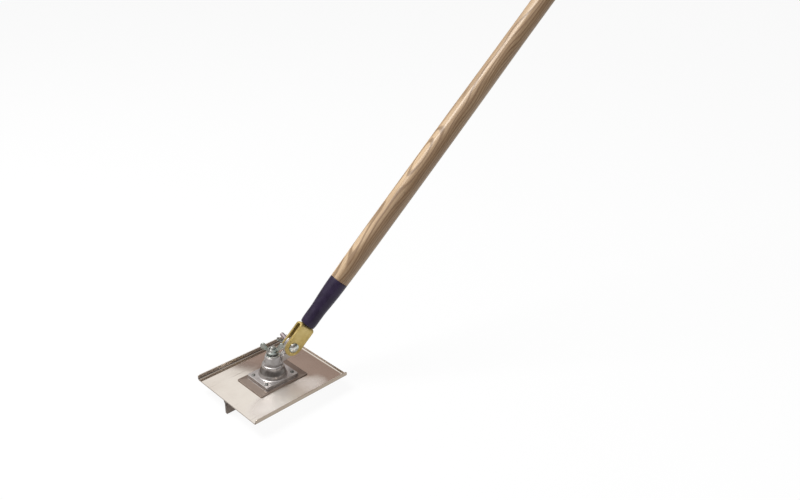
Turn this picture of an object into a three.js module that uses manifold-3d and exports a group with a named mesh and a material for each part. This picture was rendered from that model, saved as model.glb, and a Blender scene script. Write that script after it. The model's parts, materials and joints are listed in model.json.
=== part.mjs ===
// A walking concrete groover: a polished sole with a grooving bit, a swivelling cast head and a long handle.
// Millimetres, +Z up. The origin is the middle of the bit's lower edge, on the axis the head swivels about.
import * as THREE from 'three';
import { mergeVertices } from 'three/addons/utils/BufferGeometryUtils.js';
import Module from 'manifold-3d';

const wasm = await Module();
wasm.setup();

// How the head and the handle stand, in degrees
const swivelTurn = -15;
const handleRise = 49.5;
const swivelNutTurn = 152;
const pivotNutTurn = 118;

// Turns and facets
const fullTurn = 360;
const fineFacets = 48;
const roundFacets = 40;
const smallFacets = 24;
const arcSteps = 6;
const hexagonSides = 6;

// Clearances
const runningGap = 0.3;
const cutOverrun = 1;

// Sole: a sheet with its long sides and its rear end turned up
const soleLength = 203.2;
const soleWidth = 165.1;
const sheetGauge = 1.6;
const sideLipHeight = 9.5;
const sideBendRadius = 4;
const lipCornerRadius = 3;
const endLipHeight = 4.8;
const endBendRadius = 3.6;
const reliefWidth = 1.4;

// Grooving bit
const bitDepth = 25.4;
const bladeRootWidth = 5.2;
const bladeEdgeWidth = 2.8;
const bitShoulderRadius = 3.2;
const bitCornerRadius = 2.6;

// Doubler plate under the casting
const doublerLength = 104;
const doublerWidth = 68;
const doublerGauge = 1.6;
const doublerCornerRadius = 1.6;

// Base casting
const flangeLength = 71;
const flangeWidth = 56;
const flangeThickness = 6.4;
const flangeCornerRadius = 2.4;
const flangeEdgeRound = 0.8;
const castingHeight = 29.2;
const skirtFootRadius = 24.4;
const skirtFootFillet = 2.6;
const castingNeckRadius = 17.6;
const castingNeckRound = 1.6;
const headPocketDepth = 12;

// Rivets through the flange, the doubler and the sole
const rivetEndInset = 7;
const rivetSideInset = 9.5;
const rivetShankDiameter = 4.8;
const rivetHeadDiameter = 6.4;
const rivetHeadHeight = 2.1;
const rivetFootDiameter = 8.2;
const rivetFootDepth = 1.2;

// Stud that the head swivels on
const studDiameter = 9.5;
const studHeadAcrossFlats = 14.3;
const studHeadHeight = 6.1;
const studEndRound = 2;
const studStandProud = 3.8;

// Swivelling head
const collarHeight = 15.4;
const collarFootRadius = 17.6;
const collarFlareRadius = 17.3;
const collarFlareHeight = 3.1;
const collarWaistRadius = 16.6;
const collarTopRadius = 12.7;
const collarCrownHeight = 6;
const collarRimRound = 0.6;
const pivotReach = 37.1;
const pivotRise = 23.4;
const lugRadius = 15.2;
const lugThickness = 7.4;
const lugEdgeRound = 0.8;
const armRootThickness = 13;
const armRootRound = 2.4;
const armFootRadius = 15;
const armSaddleDrop = 3;
const earRoom = 0.8;

// Washers and wing nut on the stud
const studWasherDiameter = 23.6;
const studWasherGauge = 1.9;
const studSpringDiameter = 21.2;
const studSpringGauge = 3;
const studNutBaseDiameter = 20.8;
const studNutBaseHeight = 4;
const studNutHubDiameter = 14.4;
const studNutHubHeight = 8;
const studNutWingReach = 20.6;
const studNutWingHeight = 17.2;
const studNutWingThickness = 3.4;

// Clevis strap
const strapWidth = 32;
const strapGauge = 4;
const strapBendRadius = 7.1;
const pivotToWeb = 45.3;
const strapCornerRadius = 6;
const strapCornerOverrun = 0.3;

// Carriage bolt through the clevis
const boltDiameter = 7.9;
const boltHeadDiameter = 18.3;
const boltHeadHeight = 4.6;
const boltNeckWidth = 7.9;
const boltLength = 50.8;
const boltEndRound = 1.2;

// Washers and wing nut on the carriage bolt
const boltWasherDiameter = 17.4;
const boltWasherGauge = 1.6;
const boltSpringDiameter = 14.8;
const boltSpringGauge = 2.1;
const boltNutBaseDiameter = 15.4;
const boltNutBaseHeight = 3.4;
const boltNutHubDiameter = 12.4;
const boltNutHubHeight = 7.6;
const boltNutWingReach = 17.6;
const boltNutWingHeight = 16.4;
const boltNutWingThickness = 2.8;

// Shape shares of both wing nuts
const wingFootShare = 0.7;
const wingNeckShare = 0.88;
const wingLobeShare = 0.22;
const wingLobeStart = -55;
const wingLobeEnd = 125;
const nutEdge = 0.7;

// Share of a turn that is open in both split washers
const springGapShare = 0.035;

// Handle socket
const socketLength = 95.7;
const socketFootRadius = 13.3;
const socketNeckRadius = 14.3;
const socketMouthRadius = 17.1;
const socketWall = 1.5;
const socketFloor = 3.2;
const socketEdgeRound = 1;
const socketNeckStart = 9.7;
const socketNeckEnd = 33.7;

// Rivet that holds the socket on the web of the clevis
const webRivetDiameter = 5.6;
const webRivetHeadLength = 15;
const webRivetHeadHeight = 5.2;
const webRivetUpsetDiameter = 10;
const webRivetUpsetHeight = 2.4;

// Pin that holds the handle in its socket
const handlePinDiameter = 4;
const handlePinHeadDiameter = 7;
const handlePinHeadHeight = 1.3;
const handlePinFromMouth = 24;

// Wood handle
const handleLength = 1524;
const handleTipRadius = 11.5;
const handleSwellRadius = 18.4;
const handleShaftRadius = 17.3;
const handleSwellStart = 110;
const handleSwellEnd = 300;
const handleShaftStart = 560;
const handleEndRound = 12;
const handleFloorGap = 3.7;

// Heights above the bit's lower edge
const soleTop = bitDepth + sheetGauge;
const doublerTop = soleTop + doublerGauge;
const flangeTop = doublerTop + flangeThickness;
const castingTop = doublerTop + castingHeight;
const headFoot = castingTop + runningGap;
const studWasherFoot = headFoot + collarHeight + runningGap;
const studSpringFoot = studWasherFoot + studWasherGauge;
const studNutFoot = studSpringFoot + studSpringGauge + runningGap;
const studTop = studNutFoot + studNutHubHeight + studStandProud;
const studHeadTop = doublerTop + headPocketDepth;
const pivotHeight = headFoot + pivotRise;

// Places along the carriage bolt, from the middle of the clevis
const forkHalfGap = lugThickness / 2 + runningGap;
const earOuter = forkHalfGap + strapGauge;
const boltWasherFoot = earOuter + runningGap;
const boltSpringFoot = boltWasherFoot + boltWasherGauge + runningGap;
const boltNutFoot = boltSpringFoot + boltSpringGauge + runningGap;
const boltEnd = boltLength - earOuter - runningGap;

// Places along the handle, from the clevis bolt
const socketFoot = pivotToWeb + runningGap;
const socketMouth = socketFoot + socketLength;
const handleTip = socketFoot + socketFloor + handleFloorGap;

const polishedSteel = new THREE.MeshStandardMaterial({ color: 0xb9aea6, metalness: 1, roughness: 0.16 });
const bitSteel = new THREE.MeshStandardMaterial({ color: 0x6f6761, metalness: 1, roughness: 0.45 });
const castAluminium = new THREE.MeshStandardMaterial({ color: 0xa7a19d, metalness: 0.9, roughness: 0.42 });
const zincPlate = new THREE.MeshStandardMaterial({ color: 0xc4c6c6, metalness: 1, roughness: 0.28 });
const yellowZinc = new THREE.MeshStandardMaterial({ color: 0xc2a867, metalness: 0.85, roughness: 0.4 });
const socketEnamel = new THREE.MeshStandardMaterial({ color: 0x2c2635, metalness: 0.1, roughness: 0.35 });
const lacqueredAsh = new THREE.MeshStandardMaterial({ color: 0xb99a78, metalness: 0, roughness: 0.4 });

// Turns a closed geometry into a solid: shared corners are welded and the faces are made to point outwards.
function solid(geometry) {
  const bare = geometry.index ? geometry.toNonIndexed() : geometry.clone();
  bare.deleteAttribute('normal');
  bare.deleteAttribute('uv');
  const welded = mergeVertices(bare);
  const places = welded.attributes.position.array;
  const index = welded.index.array;
  const corner = (n) => new THREE.Vector3().fromArray(places, 3 * n);
  const faces = [];
  let volume = 0;
  for (let n = 0; n < index.length; n += 3) {
    const [a, b, c] = [index[n], index[n + 1], index[n + 2]];
    if (a === b || b === c || c === a) continue;
    faces.push([a, b, c]);
    volume += corner(a).dot(corner(b).cross(corner(c)));
  }
  const outward = volume < 0 ? faces.map(([a, b, c]) => [a, c, b]) : faces;
  const mesh = new wasm.Mesh({
    numProp: 3,
    vertProperties: Float32Array.from(places),
    triVerts: Uint32Array.from(outward.flat()),
  });
  return new wasm.Manifold(mesh);
}

// Makes a named mesh of a solid.
function piece(name, shape, material) {
  const { vertProperties, triVerts, numProp } = shape.getMesh();
  const places = new Float32Array(triVerts.length * 3);
  triVerts.forEach((corner, n) => {
    for (let axis = 0; axis < 3; axis += 1) places[3 * n + axis] = vertProperties[numProp * corner + axis];
  });
  const geometry = new THREE.BufferGeometry();
  geometry.setAttribute('position', new THREE.BufferAttribute(places, 3));
  geometry.computeVertexNormals();
  const mesh = new THREE.Mesh(geometry, material);
  mesh.name = name;
  return mesh;
}

// Joins a list of solids.
function joined(shapes) {
  return shapes.reduce((whole, shape) => whole.add(shape));
}

// Revolves [radius, height] points about the Z axis. The profile starts and ends on the axis, or is closed.
function turned(profile, facets = roundFacets) {
  const points = profile.map(([radius, height]) => new THREE.Vector2(radius, height));
  return solid(new THREE.LatheGeometry(points, facets).rotateX(Math.PI / 2));
}

// A plain cylinder about Z between two heights.
function rod(radius, low, high, facets = smallFacets) {
  return turned([[0, low], [radius, low], [radius, high], [0, high]], facets);
}

// Points of an arc about a centre, between two angles in degrees.
function arc(centreX, centreY, radius, from, to, steps = arcSteps) {
  const points = [];
  for (let n = 0; n <= steps; n += 1) {
    const angle = THREE.MathUtils.degToRad(from + ((to - from) * n) / steps);
    points.push([centreX + radius * Math.cos(angle), centreY + radius * Math.sin(angle)]);
  }
  return points;
}

function outline(points) {
  return new THREE.Shape(points.map(([x, y]) => new THREE.Vector2(x, y)));
}

// A rectangle with rounded corners, centred on the origin.
function roundedRectangle(length, width, radius) {
  const x = length / 2 - radius;
  const y = width / 2 - radius;
  return outline([
    ...arc(x, y, radius, 0, 90),
    ...arc(-x, y, radius, 90, 180),
    ...arc(-x, -y, radius, 180, 270),
    ...arc(x, -y, radius, 270, 360),
  ]);
}

// A square by its width, centred on the origin.
function square(width) {
  const half = width / 2;
  return outline([[-half, -half], [half, -half], [half, half], [-half, half]]);
}

// Extrudes a shape from one height to another along Z, with its edges rounded by an optional radius.
function raised(shape, low, high, edgeRound = 0) {
  const geometry = new THREE.ExtrudeGeometry(shape, {
    depth: high - low - 2 * edgeRound,
    bevelEnabled: edgeRound > 0,
    bevelThickness: edgeRound,
    bevelSize: edgeRound,
    bevelOffset: -edgeRound,
    bevelSegments: 2,
  });
  return solid(geometry.translate(0, 0, low + edgeRound));
}

// Stands a solid that was extruded along Z on its side: its X and Y become X and Z, about the middle plane.
function acrossY(shape) {
  return shape.rotate([90, 0, 0]);
}

// Lays a solid that was extruded along Z lengthwise: its X and Y become Y and Z.
function alongX(shape) {
  return shape.rotate([90, 0, 0]).rotate([0, 0, 90]);
}

// The sole's section across the travel: flat, two bends and two upright lips.
function soleSection() {
  const half = soleWidth / 2;
  const inner = sideBendRadius - sheetGauge;
  const bend = half - sideBendRadius;
  return outline([
    ...arc(-bend, sideBendRadius, sideBendRadius, 180, 270),
    ...arc(bend, sideBendRadius, sideBendRadius, 270, 360),
    [half, sideLipHeight],
    [half - sheetGauge, sideLipHeight],
    ...arc(bend, sideBendRadius, inner, 360, 270),
    ...arc(-bend, sideBendRadius, inner, 270, 180),
    [-half + sheetGauge, sideLipHeight],
    [-half, sideLipHeight],
  ]);
}

// Cuts the upper corner of both lips at one end of the sole round; side is 1 or -1.
function lipCornerCut(side) {
  const edge = soleLength / 2;
  const corner = outline([
    [edge + cutOverrun, sideLipHeight - lipCornerRadius],
    [edge + cutOverrun, sideLipHeight + cutOverrun],
    [edge - lipCornerRadius, sideLipHeight + cutOverrun],
    ...arc(edge - lipCornerRadius, sideLipHeight - lipCornerRadius, lipCornerRadius, 90, 0),
  ]);
  const bar = acrossY(raised(corner, -soleWidth / 2 - cutOverrun, soleWidth / 2 + cutOverrun));
  return side > 0 ? bar : bar.rotate([0, 0, 180]);
}

// Half the width of the rear end's turned-up strip, inside the corner reliefs.
const endStripHalf = soleWidth / 2 - sideBendRadius - reliefWidth;

function solePlate() {
  const edge = soleLength / 2;
  const bend = edge - endBendRadius;
  const inner = endBendRadius - sheetGauge;
  const sheet = alongX(raised(soleSection(), -edge, edge));
  const notch = raised(
    outline([
      [bend, -endStripHalf - reliefWidth],
      [edge + cutOverrun, -endStripHalf - reliefWidth],
      [edge + cutOverrun, endStripHalf + reliefWidth],
      [bend, endStripHalf + reliefWidth],
    ]),
    -cutOverrun,
    sheetGauge + cutOverrun,
  );
  const endSection = outline([
    [bend - reliefWidth, 0],
    ...arc(bend, endBendRadius, endBendRadius, 270, 360),
    [edge, endLipHeight],
    [edge - sheetGauge, endLipHeight],
    ...arc(bend, endBendRadius, inner, 360, 270),
    [bend - reliefWidth, sheetGauge],
  ]);
  const endStrip = acrossY(raised(endSection, -endStripHalf, endStripHalf));
  const plate = sheet.subtract(notch).add(endStrip).subtract(lipCornerCut(1)).subtract(lipCornerCut(-1));
  const footHole = turned(
    [
      [0, -cutOverrun],
      [rivetFootDiameter / 2, -cutOverrun],
      [rivetFootDiameter / 2, 0],
      [rivetShankDiameter / 2, rivetFootDepth],
      [rivetShankDiameter / 2, sheetGauge + cutOverrun],
      [0, sheetGauge + cutOverrun],
    ],
    smallFacets,
  );
  const holes = rivetPlaces().map(([x, y]) => footHole.translate([x, y, 0]));
  return plate.subtract(joined(holes)).translate([0, 0, bitDepth]);
}

// The bit's section: a tapering blade whose root flares out in two hollow shoulders, which round the edges.
function bitSection() {
  const edge = bladeEdgeWidth / 2;
  const root = bladeRootWidth / 2;
  const shoulder = bitDepth - bitShoulderRadius;
  return outline([
    [-edge, 0],
    [edge, 0],
    [root, shoulder],
    ...arc(root + bitShoulderRadius, shoulder, bitShoulderRadius, 180, 90),
    ...arc(-root - bitShoulderRadius, shoulder, bitShoulderRadius, 90, 0),
    [-root, shoulder],
  ]);
}

function grooverBit() {
  const front = -soleLength / 2;
  const rear = soleLength / 2 - endBendRadius;
  const blade = alongX(raised(bitSection(), front, rear));
  const side = outline([
    [front, bitDepth],
    ...arc(front + bitCornerRadius, bitCornerRadius, bitCornerRadius, 180, 270),
    ...arc(rear - bitCornerRadius, bitCornerRadius, bitCornerRadius, 270, 360),
    [rear, bitDepth],
  ]);
  const reach = bladeRootWidth / 2 + bitShoulderRadius + cutOverrun;
  return blade.intersect(acrossY(raised(side, -reach, reach)));
}

// The four places of the rivets, as [x, y].
function rivetPlaces() {
  const x = flangeLength / 2 - rivetEndInset;
  const y = flangeWidth / 2 - rivetSideInset;
  return [[-x, -y], [-x, y], [x, y], [x, -y]];
}

function doublerPlate() {
  const flat = roundedRectangle(doublerLength, doublerWidth, doublerCornerRadius);
  const hole = rod(rivetShankDiameter / 2, soleTop - cutOverrun, doublerTop + cutOverrun);
  const holes = rivetPlaces().map(([x, y]) => hole.translate([x, y, 0]));
  return raised(flat, soleTop, doublerTop).subtract(joined(holes));
}

// A hexagonal prism about Z, by its width across flats.
function hexagon(acrossFlats, low, high) {
  const radius = acrossFlats / 2 / Math.cos(Math.PI / hexagonSides);
  const lastSide = hexagonSides - 1;
  const lastCorner = (fullTurn * lastSide) / hexagonSides;
  return raised(outline(arc(0, 0, radius, 0, lastCorner, lastSide)), low, high);
}

function baseCasting() {
  const flange = raised(
    roundedRectangle(flangeLength, flangeWidth, flangeCornerRadius),
    doublerTop,
    flangeTop,
    flangeEdgeRound,
  );
  const filletTop = flangeTop + skirtFootFillet;
  const neckTop = castingTop - castingNeckRound;
  const skirt = [];
  for (let n = 0; n <= 2 * arcSteps; n += 1) {
    const share = n / (2 * arcSteps);
    const inward = (skirtFootRadius - castingNeckRadius) * share * share;
    skirt.push([skirtFootRadius - inward, filletTop + (neckTop - filletTop) * share]);
  }
  const boss = turned(
    [
      [0, doublerTop],
      [skirtFootRadius + skirtFootFillet, doublerTop],
      ...arc(skirtFootRadius + skirtFootFillet, filletTop, skirtFootFillet, 270, 180),
      ...skirt,
      [castingNeckRadius - castingNeckRound, castingTop],
      [0, castingTop],
    ],
    fineFacets,
  );
  const headPocket = hexagon(studHeadAcrossFlats + 2 * runningGap, doublerTop - cutOverrun, studHeadTop);
  const studBore = rod(studDiameter / 2 + runningGap, doublerTop, castingTop + cutOverrun, roundFacets);
  const rivetHole = rod(rivetShankDiameter / 2, doublerTop - cutOverrun, flangeTop + cutOverrun);
  const holes = rivetPlaces().map(([x, y]) => rivetHole.translate([x, y, 0]));
  return flange.add(boss).subtract(joined([headPocket, studBore, ...holes]));
}

function baseRivet() {
  const shank = rivetShankDiameter / 2;
  const head = rivetHeadDiameter / 2;
  const domeRadius = (head * head + rivetHeadHeight * rivetHeadHeight) / (2 * rivetHeadHeight);
  const domeCentre = flangeTop + rivetHeadHeight - domeRadius;
  const rimAngle = THREE.MathUtils.radToDeg(Math.asin((flangeTop - domeCentre) / domeRadius));
  return turned(
    [
      [0, bitDepth],
      [rivetFootDiameter / 2, bitDepth],
      [shank, bitDepth + rivetFootDepth],
      [shank, flangeTop],
      ...arc(0, domeCentre, domeRadius, rimAngle, 90),
    ],
    smallFacets,
  );
}

function swivelStud() {
  const radius = studDiameter / 2;
  const head = hexagon(studHeadAcrossFlats, studHeadTop - studHeadHeight, studHeadTop);
  const shank = turned([
    [0, studHeadTop - studHeadHeight],
    [radius, studHeadTop - studHeadHeight],
    ...arc(radius - studEndRound, studTop - studEndRound, studEndRound, 0, 90),
    [0, studTop],
  ]);
  return head.add(shank);
}

// The head's side view: an arm that leaves the collar and ends in a round lug about the clevis bolt.
function armOutline() {
  const crown = headFoot + collarHeight - collarRimRound;
  const lugSide = pivotReach - lugRadius;
  return outline([
    [0, headFoot],
    [armFootRadius, headFoot],
    ...arc(pivotReach, pivotHeight, lugRadius, -60, 180, 4 * arcSteps),
    [lugSide, crown],
    [lugSide - armSaddleDrop, crown - armSaddleDrop],
    [0, crown - armSaddleDrop],
  ]);
}

function swivelHead() {
  const top = headFoot + collarHeight;
  const crown = top - collarCrownHeight;
  const crownArc = [];
  for (let n = 0; n <= arcSteps; n += 1) {
    const angle = (Math.PI / 2) * (n / arcSteps);
    const radius = collarTopRadius + (collarWaistRadius - collarTopRadius) * Math.cos(angle);
    crownArc.push([radius, crown + (collarCrownHeight - collarRimRound) * Math.sin(angle)]);
  }
  const collar = turned(
    [
      [0, headFoot],
      [collarFootRadius, headFoot],
      [collarFlareRadius, headFoot + collarFlareHeight],
      ...crownArc,
      [collarTopRadius - collarRimRound, top],
      [0, top],
    ],
    fineFacets,
  );
  const side = armOutline();
  const web = acrossY(raised(side, -lugThickness / 2, lugThickness / 2, lugEdgeRound));
  const earSpace = acrossY(rod(strapWidth / 2 + earRoom, -armRootThickness, armRootThickness, fineFacets))
    .translate([pivotReach, 0, pivotHeight]);
  const rootHalf = armRootThickness / 2;
  const root = acrossY(raised(side, -rootHalf, rootHalf, armRootRound)).subtract(earSpace);
  const above = rod(pivotReach, top - collarRimRound, pivotHeight + strapWidth, fineFacets);
  const studBore = rod(studDiameter / 2 + runningGap, headFoot - cutOverrun, top + cutOverrun, roundFacets);
  const bolt = acrossY(rod(boltDiameter / 2 + runningGap, -lugThickness, lugThickness))
    .translate([pivotReach, 0, pivotHeight]);
  return joined([collar, web, root.subtract(above)]).subtract(studBore).subtract(bolt);
}

// A flat washer about Z, from its foot upwards.
function washer(diameter, hole, gauge) {
  return rod(diameter / 2, 0, gauge, roundFacets).subtract(rod(hole / 2, -cutOverrun, gauge + cutOverrun));
}

// A split spring washer about Z: a flat ring that is cut through once.
function springWasher(diameter, hole, gauge) {
  const start = (fullTurn * springGapShare) / 2;
  const end = fullTurn - start;
  const ring = outline([
    ...arc(0, 0, diameter / 2, start, end, roundFacets),
    ...arc(0, 0, hole / 2, end, start, roundFacets),
  ]);
  return raised(ring, 0, gauge);
}

// One wing of a wing nut from the side: it leaves the hub's wall, rises outwards and ends in a round lobe.
function wingOutline(nut) {
  const root = (nut.hubDiameter + nut.bore) / 4;
  const lobe = nut.wingReach * wingLobeShare;
  return outline([
    [root, nut.baseHeight * wingFootShare],
    ...arc(nut.wingReach - lobe, nut.wingHeight - lobe, lobe, wingLobeStart, wingLobeEnd),
    [root, nut.hubHeight * wingNeckShare],
  ]);
}

// A wing nut about Z, standing on its base at height nought, with its wings along X.
function wingNut(nut) {
  const base = nut.baseDiameter / 2;
  const hub = nut.hubDiameter / 2;
  const body = turned([
    [0, 0],
    [base - nutEdge, 0],
    [base, nutEdge],
    [base, nut.baseHeight - base + hub],
    [hub, nut.baseHeight],
    [hub, nut.hubHeight - nutEdge],
    [hub - nutEdge, nut.hubHeight],
    [0, nut.hubHeight],
  ]);
  const half = nut.wingThickness / 2;
  const wing = acrossY(raised(wingOutline(nut), -half, half, half / 3));
  const bore = rod(nut.bore / 2, -cutOverrun, nut.wingHeight + cutOverrun, roundFacets);
  return joined([body, wing, wing.rotate([0, 0, 180])]).subtract(bore);
}

const studNut = {
  baseDiameter: studNutBaseDiameter,
  baseHeight: studNutBaseHeight,
  hubDiameter: studNutHubDiameter,
  hubHeight: studNutHubHeight,
  wingReach: studNutWingReach,
  wingHeight: studNutWingHeight,
  wingThickness: studNutWingThickness,
  bore: studDiameter + 2 * runningGap,
};

const boltNut = {
  baseDiameter: boltNutBaseDiameter,
  baseHeight: boltNutBaseHeight,
  hubDiameter: boltNutHubDiameter,
  hubHeight: boltNutHubHeight,
  wingReach: boltNutWingReach,
  wingHeight: boltNutWingHeight,
  wingThickness: boltNutWingThickness,
  bore: boltDiameter + 2 * runningGap,
};

// The clevis strap, in the handle's own frame: X along the handle, Y along the bolt, which is at the origin.
function clevisStrap() {
  const inner = strapBendRadius - strapGauge;
  const bend = pivotToWeb - strapBendRadius;
  const bendY = earOuter - strapBendRadius;
  const end = -strapWidth / 2 - cutOverrun;
  const section = outline([
    [end, -earOuter],
    ...arc(bend, -bendY, strapBendRadius, -90, 0),
    ...arc(bend, bendY, strapBendRadius, 0, 90),
    [end, earOuter],
    [end, forkHalfGap],
    ...arc(bend, bendY, inner, 90, 0),
    ...arc(bend, -bendY, inner, 0, -90),
    [end, -forkHalfGap],
  ]);
  const strip = raised(section, end, -end);
  const cornerX = pivotToWeb + strapCornerOverrun - strapCornerRadius;
  const cornerY = strapWidth / 2 - strapCornerRadius;
  const side = outline([
    ...arc(0, 0, strapWidth / 2, 90, 270, 3 * arcSteps),
    ...arc(cornerX, -cornerY, strapCornerRadius, 270, 360),
    ...arc(cornerX, cornerY, strapCornerRadius, 0, 90),
  ]);
  const reach = earOuter + cutOverrun;
  const ears = strip.intersect(acrossY(raised(side, -reach, reach)));
  const squareHole = acrossY(raised(square(boltNeckWidth + 2 * runningGap), 0, reach));
  const roundHole = acrossY(rod(boltDiameter / 2 + runningGap, -reach, 0));
  const rivetHole = alongX(rod(webRivetDiameter / 2 + runningGap, bend, pivotToWeb + cutOverrun));
  return ears.subtract(squareHole).subtract(roundHole).subtract(rivetHole);
}

// The carriage bolt: a domed head on the near ear, a square neck in it, and a shank to the far side.
function pivotBolt() {
  const seat = earOuter + runningGap;
  const head = boltHeadDiameter / 2;
  const shank = boltDiameter / 2;
  const domeRadius = (head * head + boltHeadHeight * boltHeadHeight) / (2 * boltHeadHeight);
  const domeCentre = domeRadius - boltHeadHeight - seat;
  const rimAngle = THREE.MathUtils.radToDeg(Math.asin((seat + domeCentre) / domeRadius));
  const turnedBolt = turned([
    ...arc(0, domeCentre, domeRadius, -90, -rimAngle, 2 * arcSteps),
    [shank, -seat],
    ...arc(shank - boltEndRound, boltEnd - boltEndRound, boltEndRound, 0, 90),
    [0, boltEnd],
  ]);
  return pointedAlongY(turnedBolt.add(raised(square(boltNeckWidth), -seat - runningGap, -forkHalfGap)));
}

// Turns a solid that was built about Z so that its height runs along Y.
function pointedAlongY(shape) {
  return shape.rotate([-90, 0, 0]);
}

// Turns a solid that was built about Z so that its height runs along X.
function pointedAlongX(shape) {
  return shape.rotate([0, 90, 0]);
}

// The socket's outer radius at a place above its foot: a short neck that flares smoothly to the mouth.
function socketRadius(height) {
  if (height <= socketNeckStart) {
    return socketFootRadius + ((socketNeckRadius - socketFootRadius) * height) / socketNeckStart;
  }
  if (height <= socketNeckEnd) return socketNeckRadius;
  const share = (height - socketNeckEnd) / (socketLength - socketNeckEnd);
  return socketNeckRadius + (socketMouthRadius - socketNeckRadius) * Math.sin((Math.PI / 2) * share);
}

// Places above the socket's foot where its profile has a ring.
function socketRings(low, high) {
  const rings = [low];
  for (let n = 1; n < arcSteps; n += 1) rings.push(low + ((high - low) * n) / arcSteps);
  return [...rings, high];
}

function handleSocket() {
  const outer = socketRings(socketEdgeRound, socketLength)
    .map((height) => [socketRadius(height), height]);
  const inner = socketRings(socketFloor, socketLength)
    .map((height) => [socketRadius(height) - socketWall, height]);
  const shell = turned([
    [0, 0],
    [socketFootRadius - socketEdgeRound, 0],
    ...outer,
    ...inner.reverse(),
    [0, socketFloor],
  ]);
  const rivetHole = rod(webRivetDiameter / 2 + runningGap, -cutOverrun, socketFloor + cutOverrun);
  const cup = pointedAlongX(shell.subtract(rivetHole)).translate([socketFoot, 0, 0]);
  const pinHole = rod(handlePinDiameter / 2 + runningGap, -2 * socketMouthRadius, 0);
  return cup.subtract(pinHole.translate([socketMouth - handlePinFromMouth, 0, 0]));
}

// The rivet that holds the socket on the web: a saddle head in the fork's bend, an upset head in the socket.
function webRivet() {
  const bend = pivotToWeb - strapBendRadius;
  const bendY = earOuter - strapBendRadius;
  const inner = strapBendRadius - strapGauge - runningGap;
  const headFoot = bend + inner - webRivetHeadHeight;
  const saddle = outline([
    [headFoot, -bendY - inner],
    ...arc(bend, -bendY, inner, -90, 0),
    ...arc(bend, bendY, inner, 0, 90),
    [headFoot, bendY + inner],
  ]);
  const upset = socketFoot + socketFloor + runningGap;
  const shank = webRivetDiameter / 2;
  const shaft = turned([
    [0, bend],
    [shank, bend],
    [shank, upset],
    [webRivetUpsetDiameter / 2, upset],
    [shank, upset + webRivetUpsetHeight],
    [0, upset + webRivetUpsetHeight],
  ], smallFacets);
  return raised(saddle, -webRivetHeadLength / 2, webRivetHeadLength / 2).add(pointedAlongX(shaft));
}

// The wood handle's radius at a place along it, from the clevis bolt.
function handleRadius(place) {
  const swellStart = socketMouth + handleSwellStart;
  const swellEnd = socketMouth + handleSwellEnd;
  const shaftStart = socketMouth + handleShaftStart;
  if (place <= swellStart) {
    const share = (place - socketMouth) / handleSwellStart;
    return socketMouthRadius + (handleSwellRadius - socketMouthRadius) * Math.sin((Math.PI / 2) * share);
  }
  if (place <= swellEnd) return handleSwellRadius;
  if (place >= shaftStart) return handleShaftRadius;
  const eased = (1 - Math.cos((Math.PI * (place - swellEnd)) / (shaftStart - swellEnd))) / 2;
  return handleSwellRadius + (handleShaftRadius - handleSwellRadius) * eased;
}

function woodHandle() {
  const end = handleTip + handleLength;
  const shaftEnd = end - handleEndRound;
  const tenonMouth = socketMouthRadius - socketWall - runningGap;
  const swell = [];
  const stations = 3 * arcSteps;
  const shaftFull = socketMouth + handleShaftStart;
  for (let n = 0; n <= stations; n += 1) {
    const place = socketMouth + runningGap + ((shaftFull - socketMouth - runningGap) * n) / stations;
    swell.push([handleRadius(place), place]);
  }
  const tenon = socketRings(handleTip - socketFoot, socketLength)
    .map((height) => [socketRadius(height) - socketWall - runningGap, socketFoot + height]);
  const roundedEnd = arc(0, 0, 1, 0, 90)
    .map(([x, y]) => [handleShaftRadius * x, shaftEnd + handleEndRound * y]);
  const shape = turned([
    [0, handleTip],
    [handleTipRadius - socketEdgeRound, handleTip],
    ...tenon.slice(1),
    [tenonMouth, socketMouth + runningGap],
    ...swell,
    ...roundedEnd,
  ]);
  const pinHole = rod(handlePinDiameter / 2 + runningGap, -2 * socketMouthRadius, runningGap);
  return pointedAlongX(shape).subtract(pinHole.translate([socketMouth - handlePinFromMouth, 0, 0]));
}

// The pin through the socket's underside into the handle, with a low round head on the outside.
function handlePin() {
  const height = socketLength - handlePinFromMouth;
  const seat = socketRadius(height) + runningGap;
  const crown = -seat - handlePinHeadHeight;
  const pin = turned([
    [0, crown],
    [handlePinHeadDiameter / 2 - handlePinHeadHeight, crown],
    [handlePinHeadDiameter / 2, -seat],
    [handlePinDiameter / 2, -seat],
    [handlePinDiameter / 2, 0],
    [0, 0],
  ], smallFacets);
  return pin.translate([socketMouth - handlePinFromMouth, 0, 0]);
}

const groover = new THREE.Group();

groover.add(piece('sole_plate', solePlate(), polishedSteel));
groover.add(piece('groover_bit', grooverBit(), bitSteel));
groover.add(piece('doubler_plate', doublerPlate(), polishedSteel));
groover.add(piece('base_casting', baseCasting(), castAluminium));
rivetPlaces().forEach(([x, y], n) => {
  groover.add(piece(`base_rivet_${n + 1}`, baseRivet().translate([x, y, 0]), zincPlate));
});
groover.add(piece('swivel_stud', swivelStud(), zincPlate));

const studHole = studDiameter + 2 * runningGap;
const studFlat = washer(studWasherDiameter, studHole, studWasherGauge);
const studWasher = piece('stud_washer', studFlat, zincPlate);
studWasher.position.z = studWasherFoot;
groover.add(studWasher);
const studSplit = springWasher(studSpringDiameter, studHole, studSpringGauge);
const studSpring = piece('stud_spring_washer', studSplit, zincPlate);
studSpring.position.z = studSpringFoot;
groover.add(studSpring);
const studWingNut = piece('stud_wing_nut', wingNut(studNut), zincPlate);
studWingNut.position.z = studNutFoot;
studWingNut.rotation.z = THREE.MathUtils.degToRad(swivelNutTurn + swivelTurn);
groover.add(studWingNut);

// What turns with the head
const swivel = new THREE.Group();
swivel.rotation.z = THREE.MathUtils.degToRad(swivelTurn);
swivel.add(piece('swivel_head', swivelHead(), castAluminium));
groover.add(swivel);

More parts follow.
